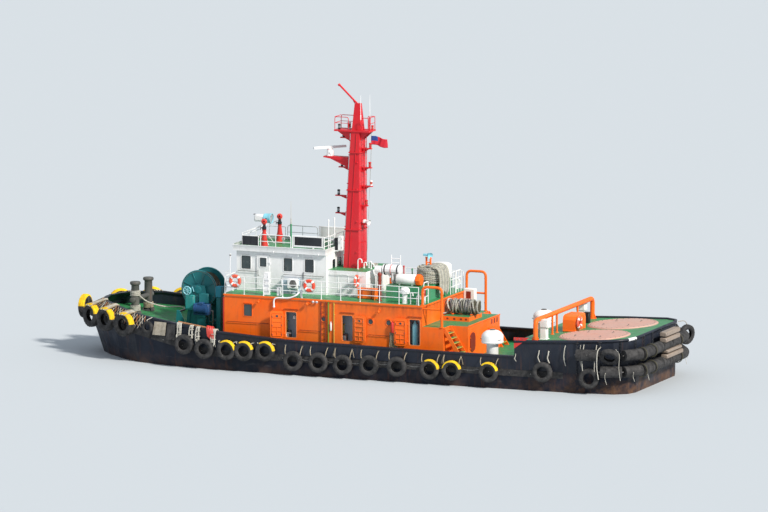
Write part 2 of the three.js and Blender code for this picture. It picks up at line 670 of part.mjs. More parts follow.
function makeMast() {
  const { aft, foot, top, head } = mast;
  const trunk = taper([aft, 1400, 575, foot + seat], [aft, 1000, 450, top]);
  const platform = block([-100, 2000], [-500, 500], [top - 40, top + 40]);
  const neck = taper([480, 1020, 300, top], [600, 900, 160, head]);
  const spar = rod([750, 0, head - 80], [1900, 0, 15650], 55, 8);
  const shelf = prism(polygon([[900, 11330], [radar.x + 300, radar.platform - 60],
    [radar.x + 300, radar.platform], [900, radar.platform]]), 'xz', [-250, 250]);
  const pedestal = rod([radar.x, 0, radar.platform - 10], [radar.x, 0, radar.pedestal], 190, 12, 150);
  const brackets = mastBrackets.map(([z, reach]) =>
    block([Math.min(700, reach), Math.max(700, reach)], [-90, 90], [z - 30, z + 30]));
  piece('mast', join([trunk, platform, neck, spar, shelf, pedestal, ...brackets]), look.mast);
}
makeMast();

function makeScanner() {
  const bar = block([-radar.length / 2, radar.length / 2], [-70, 70], [60, 200])
    .rotate([0, 0, radar.angle]);
  const hub = rod([0, 0, runGap], [0, 0, 100], 120, 12);
  return join([bar, hub]).translate(radar.x, 0, radar.pedestal);
}
piece('radar_scanner', makeScanner(), look.white);

// Aft house: open to the deckhouse in front, with a doorway in its aft wall and a coaming on its roof
const aftDoor = { y: 1740, width: 640, low: 1500, high: 2480 };
aftDoor.axis = [aftHouse.aft - 50, aftDoor.y + aftDoor.width / 2 + 70];

function makeAftHouse() {
  const { step, aft, half, narrow, top } = aftHouse;
  const fore = house.aft - seat;
  const outline = (inset, back) => polygon([
    [back, half - inset], [back, -half + inset], [step + inset, -half + inset],
    [step + inset, -narrow + inset], [aft + inset, -narrow + inset], [aft + inset, narrow - inset],
    [step + inset, narrow - inset], [step + inset, half - inset],
  ]);
  const shell = prism(outline(0, fore), 'xy', [mainDeck + seat, top]);
  const hollow = prism(outline(wall, fore + 50), 'xy', [mainDeck - 50, top - wall]);
  const { y, width, low, high } = aftDoor;
  const doorway = rounded([y, (low + high) / 2, width, high - low, 250], THREE.Shape);
  const way = prism(doorway, 'yz', [aft - 50, aft + 150]);
  const lugs = [1700, 2300].flatMap((z) => [
    knuckleAt(aftDoor.axis, z - knuckle.tall, z),
    block([aftDoor.axis[0], aft + 10], [aftDoor.axis[1] - 20, aftDoor.axis[1] + 20], [z - knuckle.tall, z]),
  ]);
  const coaming = block([-6170, -4600], [-1150, 780], [top - 10, 3180]);
  return piece('aft_house', join([cut(shell, [hollow, way]), coaming, ...lugs]), look.orange);
}
const aftRoof = makeAftHouse();

function makeAftDoor() {
  const { y, width, low, high, axis } = aftDoor;
  const back = aftHouse.aft - 6;
  const outline = rounded([y, (low + high) / 2, width + 80, high - low + 80, 280], THREE.Shape);
  const leaf = prism(outline, 'yz', [back - 40, back]);
  const straps = [1700, 2300].flatMap((z) => {
    const [from, to] = [z + runGap, z + runGap + knuckle.tall];
    return [knuckleAt(axis, from, to), block([axis[0] - 12, axis[0] + 12], [y + 200, axis[1]], [from, to])];
  });
  return join([leaf, ...straps]);
}
piece('aft_house_door', makeAftDoor(), look.darkRed);

// Stairs from the main deck to the aft house's shoulder
function makeStair() {
  const [y0, y1] = [2440, 3310];
  const { step, top } = aftHouse;
  const [head, foot] = [[step - 30, top], [step - 1250, mainDeck + seat]];
  const side = (y) => prism(polygon([
    [foot[0], foot[1]], [foot[0] + 260, foot[1]], [head[0], head[1] - 260], [head[0], head[1]],
    [head[0] - 60, head[1]],
  ]), 'xz', [y - 25, y + 25]);
  const treads = Array.from({ length: 6 }, (_, i) => {
    const t = (i + 0.7) / 6.5;
    const x = foot[0] + 130 + (head[0] - foot[0] - 130) * t;
    const z = foot[1] + (head[1] - foot[1] - 130) * t;
    return block([x - 110, x + 110], [y0, y1], [z - 20, z + 20]);
  });
  const lip = block([head[0] - 60, step - seat], [y0, y1], [top - 200, top - 160]);
  return join([side(y0), side(y1), ...treads, lip]);
}
pair('stair', makeStair(), look.orange);

// Portal frames at the break between deckhouse and aft house
function makePortal() {
  const [y0, y1] = [house.half - 150, house.half];
  const foreLeg = block([-4500, -4350], [y0, y1], [house.top + seat, 5200]);
  const aftLeg = block([-5640, -5490], [y0, y1], [aftHouse.top + seat, 5200]);
  const head = block([-5640, -4350], [y0, y1], [5060, 5200]);
  const brace = block([-5500, house.aft - seat], [y0, y1], [3850, house.top - house.slab - 20]);
  return join([foreLeg, aftLeg, head, brace]);
}
pair('portal_frame', makePortal(), look.orange);

// Tow beam: a pipe arch across the raised stern deck
function makeTowBeam() {
  const [x, half, top, radius] = [-11500, 4100, 3730, 125];
  const bend = 350;
  const pipe = [[half, sternSlope(x) - 60], [half, top - bend], [half - bend * 0.3, top - bend * 0.3],
    [half - bend, top], [-half + bend, top], [-half + bend * 0.3, top - bend * 0.3], [-half, top - bend],
    [-half, sternSlope(x) - 60]].map(([y, z]) => [x, y, z]);
  const parts = [];
  for (let i = 0; i + 1 < pipe.length; i += 1) parts.push(rod(pipe[i], pipe[i + 1], radius, 8));
  for (const point of pipe.slice(1, -1)) {
    parts.push(turned([[0, -radius], [radius * 0.7, -radius * 0.7], [radius, 0],
      [radius * 0.7, radius * 0.7], [0, radius]], [1, 0, 0], point, 8));
  }
  for (const y of [-1400, 1400]) parts.push(rod([x, y, sternSlope(x) - 60], [x, y, top], 60, 8));
  piece('tow_beam', seated(join(parts), stern), look.orange);
}
makeTowBeam();

function makeCompanion() {
  const [y, low, high, corner] = [800, 2500, 3640, 260];
  const outline = rounded([0, (low + high) / 2, 2 * y, high - low, corner], THREE.Shape);
  piece('companion', seated(prism(outline, 'yz', [-12450, -11720]), stern), look.orange);
}
makeCompanion();

// Box vents inside the beam's legs: the port one stands abaft the beam, the other before it
const sternVents = { port: [[-12050, -11680], [3350, 3800]], starboard: [[-11310, -10940], [-3800, -3350]] };
for (const [label, [x, y]] of Object.entries(sternVents)) {
  piece(`stern_vent_${label}`, seated(block(x, y, [2600, 3800]), stern), look.white);
}

function makeMushroomVent() {
  const profile = [[0, 1100 + seat], [325, 1100 + seat], [325, 2380], [600, 2400], [600, 2780],
    [450, 3020], [0, 3100]];
  return turned(profile, [0, 0, 1], [-8800, 3900, 0], 18);
}
pair('mushroom_vent', makeMushroomVent(), look.white);

// Round hatches over the thrusters, flat on the sloping deck
function makeHatch() {
  const slope = Math.atan((sternDeck.aftTop - sternDeck.foreTop) / (sternDeck.fore - deckEdge[0][0]));
  const disc = turned([[0, -40], [1900, -40], [1900, 60], [0, 60]], [Math.sin(slope), 0, Math.cos(slope)],
    [thruster.x, thruster.y, sternSlope(thruster.x)], 36);
  return seated(disc, stern);
}
pair('thruster_hatch', makeHatch(), look.salmon);

// Thruster: stem, leg, pod and nozzle turn together under the hull
const nozzle = { outer: 1330, inner: 1165, fore: -200, aft: -1250 };
const prop = { x: -760, radius: 1100, hub: 250 };

function makeThruster() {
  const { x, y, pad, axis } = thruster;
  const stem = rod([x, y, pad - runGap], [x, y, -1835], 600, 18);
  const leg = block([x - 250, x + 450], [y - 160, y + 160], [axis, -1700]);
  const pod = turned([[0, -500], [250, -500], [380, -150], [380, 450], [200, 850], [0, 950]],
    [1, 0, 0], [x, y, axis], 14);
  const ring = turned([[nozzle.inner, nozzle.aft], [nozzle.outer - 40, nozzle.aft],
    [nozzle.outer, nozzle.fore - 200], [nozzle.outer - 30, nozzle.fore],
    [nozzle.inner, nozzle.fore - 300], [nozzle.inner, nozzle.aft]], [1, 0, 0], [x, y, axis], 24);
  const strut = block([x + nozzle.fore - 200, x + 300], [y - 60, y + 60], [axis - 1250, axis]);
  const clear = rod([x + nozzle.fore - 300, y, axis], [x + nozzle.aft - 50, y, axis], nozzle.inner - 0.5, 24);
  const space = rod([x - 500 - 4.5, y, axis], [x - 1300, y, axis], prop.radius + 20, 24);
  return cut(join([stem, leg, pod, ring, strut]), [space.intersect(clear)]);
}
pair('thruster', makeThruster(), look.bronze);

function makePropeller() {
  const { x, y, axis } = thruster;
  const front = -500 - runGap;
  const hub = turned([[0, -1150], [120, -1080], [prop.hub - 20, -900], [prop.hub, front], [0, front]],
    [1, 0, 0], [x, y, axis], 14);
  const outline = () => rounded([0, prop.radius * 0.58, 560, prop.radius * 0.84, 240], THREE.Shape);
  const blades = [0, 90, 180, 270].map((turn) =>
    prism(outline(), 'xy', [-20, 20]).rotate([0, 28, 0]).rotate([90, 0, 90])
      .rotate([turn, 0, 0]).translate(x + prop.x, y, axis));
  return join([hub, ...blades]);
}
pair('propeller', makePropeller(), look.bronze);

// Hawser winch on the foredeck: the frame stands on the deck, the drum turns across the boat
function makeWinchFrame() {
  const { x, z, half } = winch;
  const cheek = (y) => prism(polygon([
    [x - 800, 1200], [x + 800, 1200], [x + 420, z + 250], [x - 420, z + 250],
  ]), 'xz', [y - 50, y + 50]);
  const cheeks = [half + 110, -half - 110].map(cheek);
  const holes = [half + 110, -half - 110].map((y) => rod([x, y - 80, z], [x, y + 80, z], 96, 20));
  const tie = [-650, 650].map((dx) =>
    block([x + dx - 60, x + dx + 60], [-half - 130, half + 130], [1900, 2040]));
  const gearbox = block([x - 800, x + 100], [half + 100, half + 560], [2450, 3050]);
  const foot = block([x - 600, x - 100], [half + 200, half + 460], [1200, 2500]);
  const frame = cut(join([...cheeks, ...tie, gearbox, foot]), holes);
  piece('winch_frame', seated(frame, hull), look.teal);
}
makeWinchFrame();

function makeWinchDrum() {
  const { x, z, flange, half } = winch;
  const shaft = half + 220;
  const hubEnd = half + 60 - runGap;
  const profile = [[0, -shaft], [90, -shaft], [90, -hubEnd], [200, -hubEnd], [200, -half], [flange, -half],
    [flange, -half + 50], [830, -half + 50], [830, half - 50], [flange, half - 50], [flange, half],
    [200, half], [200, hubEnd], [90, hubEnd], [90, shaft], [0, shaft]];
  piece('winch_drum', turned(profile, [0, 1, 0], [x, 0, z], 28), look.teal);
}
makeWinchDrum();

// Towing bitt: two posts joined by a crossbar
function makeBitt() {
  const [x, y, radius, top] = [13900, 900, 230, 3640];
  const posts = [y, -y].map((side) => join([rod([x, side, 1800], [x, side, top], radius, 12),
    rod([x, side, top - 80], [x, side, top], radius + 60, 12)]));
  const bar = rod([x, -y - 420, 3050], [x, y + 420, 3050], 170, 12);
  piece('bow_bitt', seated(join([...posts, bar]), hull), look.grey);
}
makeBitt();

// Gear that stands on the casings and the upper deck
function makeDeckGear() {
  const tank = [[0, house.top + seat], [550, house.top + seat], [550, 5480], [420, 5600], [0, 5630]];
  piece('deck_tank', turned(tank, [0, 0, 1], [-3200, -2600, 0], 18), look.white);
  const low = lowCasing.top + seat;
  const coil = [[260, low], [700, low], [700, 5500], [560, 5650], [260, 5650], [260, low]];
  piece('hawser_stow', turned(coil, [0, 0, 1], [-3560, 0, 0], 18), look.grey);
  const hank = [[0, -950], [330, -950], [450, -780], [450, 780], [330, 950], [0, 950]];
  piece('deck_hawser', seated(turned(hank, [1, 0, 0], [-5530, -200, 3610], 14), aftRoof), look.grey);
  const raft = { x0: -2150, x1: -1180, y: 950, z: 5600, radius: 290 };
  const shell = rod([raft.x0, raft.y, raft.z], [raft.x1, raft.y, raft.z], raft.radius, 14);
  const cradle = [-2050, -1780].map((x) =>
    block([x - 30, x + 30], [raft.y - 240, raft.y + 240], [lowCasing.top + seat, raft.z - 80]));
  piece('liferaft', join([shell, ...cradle]), look.white);
}
makeDeckGear();

export default tug;
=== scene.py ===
# Harbour tug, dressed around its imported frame.
# Metres. +X points to the bow, +Y to port, +Z up, and z = 0 is the waterline.
import json
import math
import random

import bmesh
import bpy
from mathutils import Matrix, Vector

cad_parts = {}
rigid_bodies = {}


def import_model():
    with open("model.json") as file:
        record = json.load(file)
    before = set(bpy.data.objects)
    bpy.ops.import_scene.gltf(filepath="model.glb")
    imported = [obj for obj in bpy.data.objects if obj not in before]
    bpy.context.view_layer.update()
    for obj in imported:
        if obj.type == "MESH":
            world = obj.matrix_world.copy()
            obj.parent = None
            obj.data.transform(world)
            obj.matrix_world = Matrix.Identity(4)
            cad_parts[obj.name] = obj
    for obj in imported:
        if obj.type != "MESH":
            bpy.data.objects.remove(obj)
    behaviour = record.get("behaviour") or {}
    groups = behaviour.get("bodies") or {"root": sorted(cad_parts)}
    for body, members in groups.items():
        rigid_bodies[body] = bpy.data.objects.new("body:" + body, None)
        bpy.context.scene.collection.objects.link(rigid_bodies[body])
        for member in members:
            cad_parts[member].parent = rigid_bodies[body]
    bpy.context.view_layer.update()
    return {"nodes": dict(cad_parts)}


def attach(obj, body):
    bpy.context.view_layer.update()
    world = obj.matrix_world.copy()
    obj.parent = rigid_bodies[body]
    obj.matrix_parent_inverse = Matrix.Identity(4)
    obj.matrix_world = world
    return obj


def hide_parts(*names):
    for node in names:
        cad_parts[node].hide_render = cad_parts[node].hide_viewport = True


for old in list(bpy.data.objects):
    bpy.data.objects.remove(old)
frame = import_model()
nodes = frame["nodes"]
dice = random.Random(7)
print("frame loaded")

# Camera: a long lens from abaft the port beam
view = {"azimuth": 202.3, "elevation": 8.4, "away": 450.0, "metresWide": 768 / 18.0,
        "right": 0.733, "up": 6.083, "sensor": 36.0}


def makeCamera():
    a = math.radians(view["azimuth"])
    e = math.radians(view["elevation"])
    toCamera = Vector((math.sin(a) * math.cos(e), -math.cos(a) * math.cos(e), math.sin(e)))
    right = Vector((math.cos(a), math.sin(a), 0))
    up = toCamera.cross(right)
    target = right * view["right"] + up * view["up"]
    data = bpy.data.cameras.new("camera")
    data.sensor_width = view["sensor"]
    data.lens = view["away"] * view["sensor"] / view["metresWide"]
    data.clip_end = 4000
    camera = bpy.data.objects.new("camera", data)
    bpy.context.scene.collection.objects.link(camera)
    camera.location = target + toCamera * view["away"]
    camera.rotation_euler = toCamera.to_track_quat("Z", "Y").to_euler()
    bpy.context.scene.camera = camera


makeCamera()

# Floor at the waterline, pale world, a soft sun from the quarter and a weak fill
stageSettings = {"floor": (0.50, 0.54, 0.58), "size": 3000.0, "world": (0.80, 0.87, 0.95), "worldPower": 0.62,
                 "sunFrom": (247, 38), "sunPower": 4.6, "sunSoft": 7.0, "sunColour": (1.0, 0.95, 0.87)}


def makeStage():
    s = stageSettings
    half = s["size"] / 2
    mesh = bpy.data.meshes.new("floor")
    mesh.from_pydata([(-half, -half, 0), (half, -half, 0), (half, half, 0), (-half, half, 0)], [],
                     [(0, 1, 2, 3)])
    floor = bpy.data.objects.new("floor", mesh)
    bpy.context.scene.collection.objects.link(floor)
    mat = bpy.data.materials.new("floor")
    mat.use_nodes = True
    shader = mat.node_tree.nodes["Principled BSDF"]
    shader.inputs["Base Color"].default_value = (*s["floor"], 1)
    shader.inputs["Roughness"].default_value = 0.95
    shader.inputs["Specular IOR Level"].default_value = 0.1
    mesh.materials.append(mat)
    world = bpy.data.worlds.new("sky")
    bpy.context.scene.world = world
    world.use_nodes = True
    world.node_tree.nodes["Background"].inputs["Color"].default_value = (*s["world"], 1)
    world.node_tree.nodes["Background"].inputs["Strength"].default_value = s["worldPower"]
    a, e = (math.radians(v) for v in s["sunFrom"])
    fromSun = Vector((math.sin(a) * math.cos(e), -math.cos(a) * math.cos(e), math.sin(e)))
    data = bpy.data.lights.new("sun", "SUN")
    data.energy = s["sunPower"]
    data.angle = math.radians(s["sunSoft"])
    data.color = s["sunColour"]
    sun = bpy.data.objects.new("sun", data)
    sun.rotation_euler = fromSun.to_track_quat("Z", "Y").to_euler()
    bpy.context.scene.collection.objects.link(sun)
    bpy.context.scene.view_settings.view_transform = "Standard"


makeStage()
print("camera and stage made")


# Materials. Patterns lie in the frame's own metres, so they keep their scale on every piece.
class Look:
    pass


def startLook(name):
    mat = bpy.data.materials.new(name)
    mat.use_nodes = True
    look = Look()
    look.mat = mat
    look.tree = mat.node_tree
    look.shader = look.tree.nodes["Principled BSDF"]
    look.place = addNode(look, "ShaderNodeTexCoord").outputs["Object"]
    return look


def addNode(look, kind, inputs=None, **settings):
    node = look.tree.nodes.new(kind)
    for key, value in settings.items():
        setattr(node, key, value)
    for key, value in (inputs or {}).items():
        if isinstance(value, bpy.types.NodeSocket):
            look.tree.links.new(value, node.inputs[key])
        else:
            node.inputs[key].default_value = value
    return node


def stretched(look, scale):
    return addNode(look, "ShaderNodeMapping", {"Vector": look.place, "Scale": scale}).outputs["Vector"]


# A noise brought to 0..1 between two of its levels
def noise(look, scale, detail=4.0, rough=0.6, stretch=None, low=0.35, high=0.65):
    vector = stretched(look, stretch) if stretch else look.place
    raw = addNode(look, "ShaderNodeTexNoise", {"Vector": vector, "Scale": scale, "Detail": detail,
                                              "Roughness": rough}).outputs["Fac"]
    return spread(look, raw, low, high)


def spread(look, value, low, high, to=(0.0, 1.0)):
    return addNode(look, "ShaderNodeMapRange", {"Value": value, "From Min": low, "From Max": high,
                                               "To Min": to[0], "To Max": to[1]}).outputs["Result"]


def maths(look, how, a, b=0.0):
    return addNode(look, "ShaderNodeMath", {0: a, 1: b}, operation=how).outputs[0]


def times(look, a, b):
    return maths(look, "MULTIPLY", a, b)


# Colour a where share is 0 and b where it is 1
def mixed(look, share, a, b):
    node = addNode(look, "ShaderNodeMix", data_type="RGBA")
    for socket, value in ((node.inputs[0], share), (node.inputs[6], a), (node.inputs[7], b)):
        if isinstance(value, bpy.types.NodeSocket):
            look.tree.links.new(value, socket)
        elif isinstance(value, tuple):
            socket.default_value = (*value, 1)
        else:
            socket.default_value = value
    return node.outputs[2]


# 1 where the surface faces along an axis of the frame
def facing(look, axis, low, high):
    normal = addNode(look, "ShaderNodeNewGeometry").outputs["Normal"]
    parts = addNode(look, "ShaderNodeSeparateXYZ", {"Vector": normal}).outputs
    return spread(look, parts[axis], low, high)


# 0 at the low height to 1 at the high one
def height(look, low, high):
    parts = addNode(look, "ShaderNodeSeparateXYZ", {"Vector": look.place}).outputs
    return spread(look, parts["Z"], low, high)


# bumps are (height socket, distance) pairs, the largest forms first
def finishLook(look, colour, rough, bumps, metal=0.0, coat=0.0, shine=0.5):
    tree, shader = look.tree, look.shader
    tree.links.new(colour, shader.inputs["Base Color"])
    if isinstance(rough, bpy.types.NodeSocket):
        tree.links.new(rough, shader.inputs["Roughness"])
    else:
        shader.inputs["Roughness"].default_value = rough
    shader.inputs["Metallic"].default_value = metal
    shader.inputs["Coat Weight"].default_value = coat
    shader.inputs["Coat Roughness"].default_value = 0.25
    shader.inputs["Specular IOR Level"].default_value = shine
    normal = None
    for value, distance in bumps:
        inputs = {"Height": value, "Distance": distance, "Strength": 0.8}
        if normal:
            inputs["Normal"] = normal
        normal = addNode(look, "ShaderNodeBump", inputs).outputs["Normal"]
    if normal:
        tree.links.new(normal, shader.inputs["Normal"])
    return look.mat


rust = (0.16, 0.055, 0.02)
grime = (0.07, 0.065, 0.055)
deckGreen = (0.030, 0.27, 0.085)


# Brushed-on ship paint: fading, runs of rust, chips, uneven gloss and slightly buckled plates
def paintedMetal(name, base, faded, wear=0.3, streaks=0.35, top=None, gloss=0.42, edge=None):
    look = startLook(name)
    colour = mixed(look, noise(look, 0.45, 3, 0.55, low=0.3, high=0.72), base, faded)
    if top:
        patchy = mixed(look, noise(look, 0.9, 5, 0.65), top, tuple(c * 0.62 + 0.05 for c in top))
        worn = mixed(look, noise(look, 3.2, 7, 0.7, low=0.56, high=0.68), patchy,
                     tuple(c * 0.4 + 0.09 for c in top))
        colour = mixed(look, facing(look, "Z", 0.80, 0.88), colour, worn)
    runs = noise(look, 1.0, 5, 0.62, stretch=(5.5, 5.5, 0.32), low=0.57, high=0.78)
    side = facing(look, "Z", 0.6, 0.3)
    colour = mixed(look, times(look, times(look, runs, side), streaks), colour, rust)
    if edge:
        drips = noise(look, 1.0, 6, 0.7, stretch=(3.4, 3.4, 0.5), low=0.36, high=0.7)
        aft = addNode(look, "ShaderNodeSeparateXYZ", {"Vector": look.place}).outputs["X"]
        drips = times(look, times(look, drips, height(look, *edge)),
                      spread(look, aft, 4.5, -1.5, (0.25, 0.75)))
        colour = mixed(look, times(look, drips, side), colour, (0.16, 0.05, 0.02))
    dirt = noise(look, 2.4, 6, 0.7, stretch=(1.6, 1.6, 0.7), low=0.5, high=0.82)
    colour = mixed(look, times(look, dirt, 0.35 * streaks + 0.12), colour, grime)
    chips = noise(look, 5.5, 9, 0.75, low=0.655, high=0.675)
    colour = mixed(look, times(look, chips, wear), colour, rust)
    rough = spread(look, noise(look, 1.3, 5, 0.6), 0, 1, (gloss - 0.08, gloss + 0.2))
    bumps = [(noise(look, 0.9, 2, 0.4, low=0.2, high=0.8), 0.012), (noise(look, 26, 4, 0.6), 0.0012),
             (chips, -0.0012)]
    return finishLook(look, colour, rough, bumps, coat=0.06, shine=0.32)


def hullPaint():
    look = startLook("hullPaint")
    black = mixed(look, noise(look, 0.6, 4, 0.6), (0.004, 0.007, 0.015), (0.012, 0.018, 0.034))
    scuffs = noise(look, 1.6, 8, 0.72, stretch=(0.5, 0.5, 2.2), low=0.60, high=0.72)
    black = mixed(look, times(look, scuffs, 0.35), black, (0.10, 0.10, 0.105))
    runs = noise(look, 1.0, 6, 0.65, stretch=(4.2, 4.2, 0.28), low=0.55, high=0.74)
    black = mixed(look, times(look, runs, 0.3), black, rust)
    band = times(look, height(look, 0.75, 0.05), noise(look, 1.2, 8, 0.7, low=0.42, high=0.62))
    black = mixed(look, times(look, band, 0.5), black, (0.11, 0.055, 0.03))
    aft = addNode(look, "ShaderNodeSeparateXYZ", {"Vector": look.place}).outputs["X"]
    sternRust = times(look, spread(look, aft, -9.0, -14.5), noise(look, 1.5, 8, 0.7, low=0.44, high=0.6))
    low = times(look, sternRust, height(look, 1.5, 0.2))
    black = mixed(look, times(look, low, 0.62), black, (0.15, 0.075, 0.035))
    antifouling = mixed(look, noise(look, 1.1, 6, 0.65), (0.16, 0.022, 0.015), (0.09, 0.03, 0.022))
    colour = mixed(look, height(look, -0.16, -0.2), black, antifouling)
    deck = mixed(look, noise(look, 0.8, 5, 0.65), deckGreen, tuple(c * 0.6 + 0.03 for c in deckGreen))
    deck = mixed(look, noise(look, 2.6, 8, 0.72, low=0.55, high=0.66), deck, (0.10, 0.11, 0.09))
    onDeck = times(look, facing(look, "Z", 0.9, 0.95), height(look, 0.9, 1.0))
    colour = mixed(look, onDeck, colour, deck)
    rough = spread(look, noise(look, 1.4, 6, 0.65), 0, 1, (0.34, 0.62))
    frames = addNode(look, "ShaderNodeTexWave", {"Vector": look.place, "Scale": 0.26, "Distortion": 0.6},
                     bands_direction="X").outputs["Fac"]
    return finishLook(look, colour, rough, [(frames, 0.012), (noise(look, 18, 5, 0.6), 0.0015)], shine=0.22)


# Old tyre rubber; the mark on a mesh says where the yellow was brushed on
def rubberLook():
    look = startLook("fenderRubber")
    black = mixed(look, noise(look, 3.0, 6, 0.7), (0.020, 0.020, 0.021), (0.065, 0.063, 0.064))
    black = mixed(look, noise(look, 7.0, 8, 0.75, low=0.6, high=0.7), black, (0.15, 0.145, 0.14))
    mark = addNode(look, "ShaderNodeAttribute", attribute_name="mark").outputs["Fac"]
    blots = noise(look, 6.0, 7, 0.7, low=0.3, high=0.7)
    ragged = maths(look, "ADD", mark, spread(look, blots, 0, 1, (-0.34, 0.22)))
    painted = spread(look, ragged, 0.46, 0.52)
    yellow = mixed(look, noise(look, 4.0, 5, 0.6), (0.90, 0.62, 0.015), (0.66, 0.40, 0.02))
    colour = mixed(look, painted, black, yellow)
    rough = spread(look, noise(look, 5.0, 5, 0.6), 0, 1, (0.62, 0.9))
    return finishLook(look, colour, rough, [(noise(look, 30, 5, 0.6), 0.0016), (painted, 0.001)], shine=0.25)


def ropeLook(name, base, old):
    look = startLook(name)
    colour = mixed(look, noise(look, 5.0, 6, 0.7), base, old)
    twist = addNode(look, "ShaderNodeTexWave", {"Vector": stretched(look, (14, 14, 14)), "Scale": 1.0,
                                               "Distortion": 3.0, "Detail": 2.0}, bands_direction="DIAGONAL")
    colour = mixed(look, times(look, twist.outputs["Fac"], 0.35), colour, tuple(c * 0.4 for c in base))
    return finishLook(look, colour, 0.9, [(twist.outputs["Fac"], 0.004), (noise(look, 60, 4, 0.6), 0.001)])


def glassLook():
    look = startLook("windowGlass")
    tint = mixed(look, noise(look, 0.8, 3, 0.5), (0.012, 0.022, 0.026), (0.03, 0.05, 0.055))
    salt = noise(look, 5.0, 7, 0.7, low=0.55, high=0.8)
    tint = mixed(look, times(look, salt, 0.12), tint, (0.5, 0.52, 0.5))
    rough = spread(look, salt, 0, 1, (0.04, 0.22))
    return finishLook(look, tint, rough, [(noise(look, 1.5, 2, 0.4), 0.0015)], shine=0.8)


def bareMetal(name, base, worn, rough=0.4):
    look = startLook(name)
    colour = mixed(look, noise(look, 4.0, 7, 0.7), base, worn)
    colour = mixed(look, noise(look, 9.0, 8, 0.75, low=0.62, high=0.7), colour, rust)
    gloss = spread(look, noise(look, 6.0, 5, 0.6), 0, 1, (rough - 0.1, rough + 0.2))
    return finishLook(look, colour, gloss, [(noise(look, 40, 5, 0.6), 0.001)], metal=0.9)


hullBlack = ((0.007, 0.010, 0.019), (0.018, 0.024, 0.040))
orangeCoat = ((0.98, 0.132, 0.002), (0.92, 0.19, 0.025))
whiteCoat = (0.87, 0.872, 0.89)

# Each paint's base and faded colour, wear, streaks and what else differs
paints = {
    "bulwark": (*hullBlack, 0.4, 0.3, {}),
    "sternDeck": (*hullBlack, 0.4, 0.35, {"top": deckGreen}),
    "orange": (*orangeCoat, 0.35, 0.22, {}),
    "wall": (*orangeCoat, 0.4, 0.3, {"edge": (3.25, 4.0)}),
    "upperDeck": (*orangeCoat, 0.3, 0.35, {"top": deckGreen}),
    "white": (whiteCoat, (0.79, 0.79, 0.79), 0.25, 0.2, {"gloss": 0.36}),
    "whiteDeck": (whiteCoat, (0.78, 0.78, 0.78), 0.3, 0.35, {"top": deckGreen}),
    "casing": ((0.05, 0.28, 0.14), (0.09, 0.30, 0.17), 0.5, 0.35, {"top": deckGreen}),
    "mast": ((0.62, 0.010, 0.022), (0.64, 0.03, 0.038), 0.2, 0.12, {}),
    "teal": ((0.004, 0.115, 0.14), (0.02, 0.19, 0.21), 0.5, 0.4, {}),
    "lightTeal": ((0.008, 0.23, 0.24), (0.03, 0.28, 0.28), 0.6, 0.5, {}),
    "hatch": ((0.61, 0.33, 0.265), (0.55, 0.37, 0.315), 0.7, 0.5, {"gloss": 0.6}),
    "red": ((0.62, 0.02, 0.02), (0.66, 0.07, 0.05), 0.3, 0.35, {}),
    "darkRed": ((0.22, 0.022, 0.012), (0.26, 0.05, 0.03), 0.4, 0.35, {}),
    "bitt": ((0.13, 0.13, 0.12), (0.04, 0.045, 0.045), 0.9, 0.5, {"gloss": 0.6}),
    "black": ((0.012, 0.014, 0.018), (0.03, 0.033, 0.04), 0.15, 0.1, {}),
    "blue": ((0.012, 0.065, 0.20), (0.03, 0.10, 0.25), 0.5, 0.3, {}),
    "yellow": ((0.62, 0.46, 0.04), (0.5, 0.4, 0.1), 0.4, 0.35, {}),
}
looks = {
    "hull": hullPaint(),
    "rubber": rubberLook(),
    "rope": ropeLook("tanRope", (0.50, 0.42, 0.30), (0.26, 0.22, 0.16)),
    "hawser": ropeLook("greyHawser", (0.48, 0.48, 0.44), (0.26, 0.26, 0.23)),
    "glass": glassLook(),
    "steel": bareMetal("bareSteel", (0.34, 0.34, 0.34), (0.16, 0.15, 0.14)),
    "bronze": bareMetal("dullBronze", (0.50, 0.30, 0.11), (0.26, 0.17, 0.08), 0.34),
}
for key, (base, faded, wear, streaks, more) in paints.items():
    looks[key] = paintedMetal(key + "Paint", base, faded, wear, streaks, **more)
print("materials made")

# Which look each node of the frame carries
nodeLooks = {"hull": "hull", "stern_deck": "sternDeck", "bulwark": "bulwark", "side_fender": "rubber",
             "bow_fender": "rubber", "stern_fender": "rubber", "deckhouse_wall": "wall",
             "upper_deck": "upperDeck", "deck_door": "orange", "wheelhouse_wall": "white",
             "wheelhouse_roof": "whiteDeck", "wheelhouse_door": "white", "aft_house": "upperDeck",
             "aft_house_door": "darkRed", "stair": "orange", "portal_frame": "orange", "tow_beam": "orange",
             "companion": "orange", "stern_vent": "white", "mushroom_vent": "white",
             "thruster_hatch": "hatch", "thruster": "bulwark", "propeller": "bronze", "winch_frame": "teal",
             "winch_drum": "teal", "bow_bitt": "bitt", "mast_casing": "whiteDeck", "aft_casing": "casing",
             "mast": "mast", "radar_scanner": "white", "monitor": "red", "searchlight": "white",
             "bridge_rail": "white", "upper_deck_rail": "white", "deck_tank": "white",
             "hawser_stow": "hawser", "deck_hawser": "hawser", "liferaft": "white", }


def paintNodes():
    for name, node in nodes.items():
        kind = max((k for k in nodeLooks if name.startswith(k)), key=len)
        node.data.materials.clear()
        node.data.materials.append(looks[nodeLooks[kind]])


paintNodes()


# One mesh in the making: its faces carry a material index and its corners a paint mark
class Kit:
    def __init__(self):
        self.corners, self.faces, self.slots, self.marks = [], [], [], []

    def add(self, corners, faces, slot=0, marks=None):
        start = len(self.corners)
        self.corners.extend(tuple(c) for c in corners)
        self.faces.extend(tuple(start + i for i in face) for face in faces)
        self.slots.extend([slot] * len(faces))
        self.marks.extend(marks or [0.0] * len(corners))


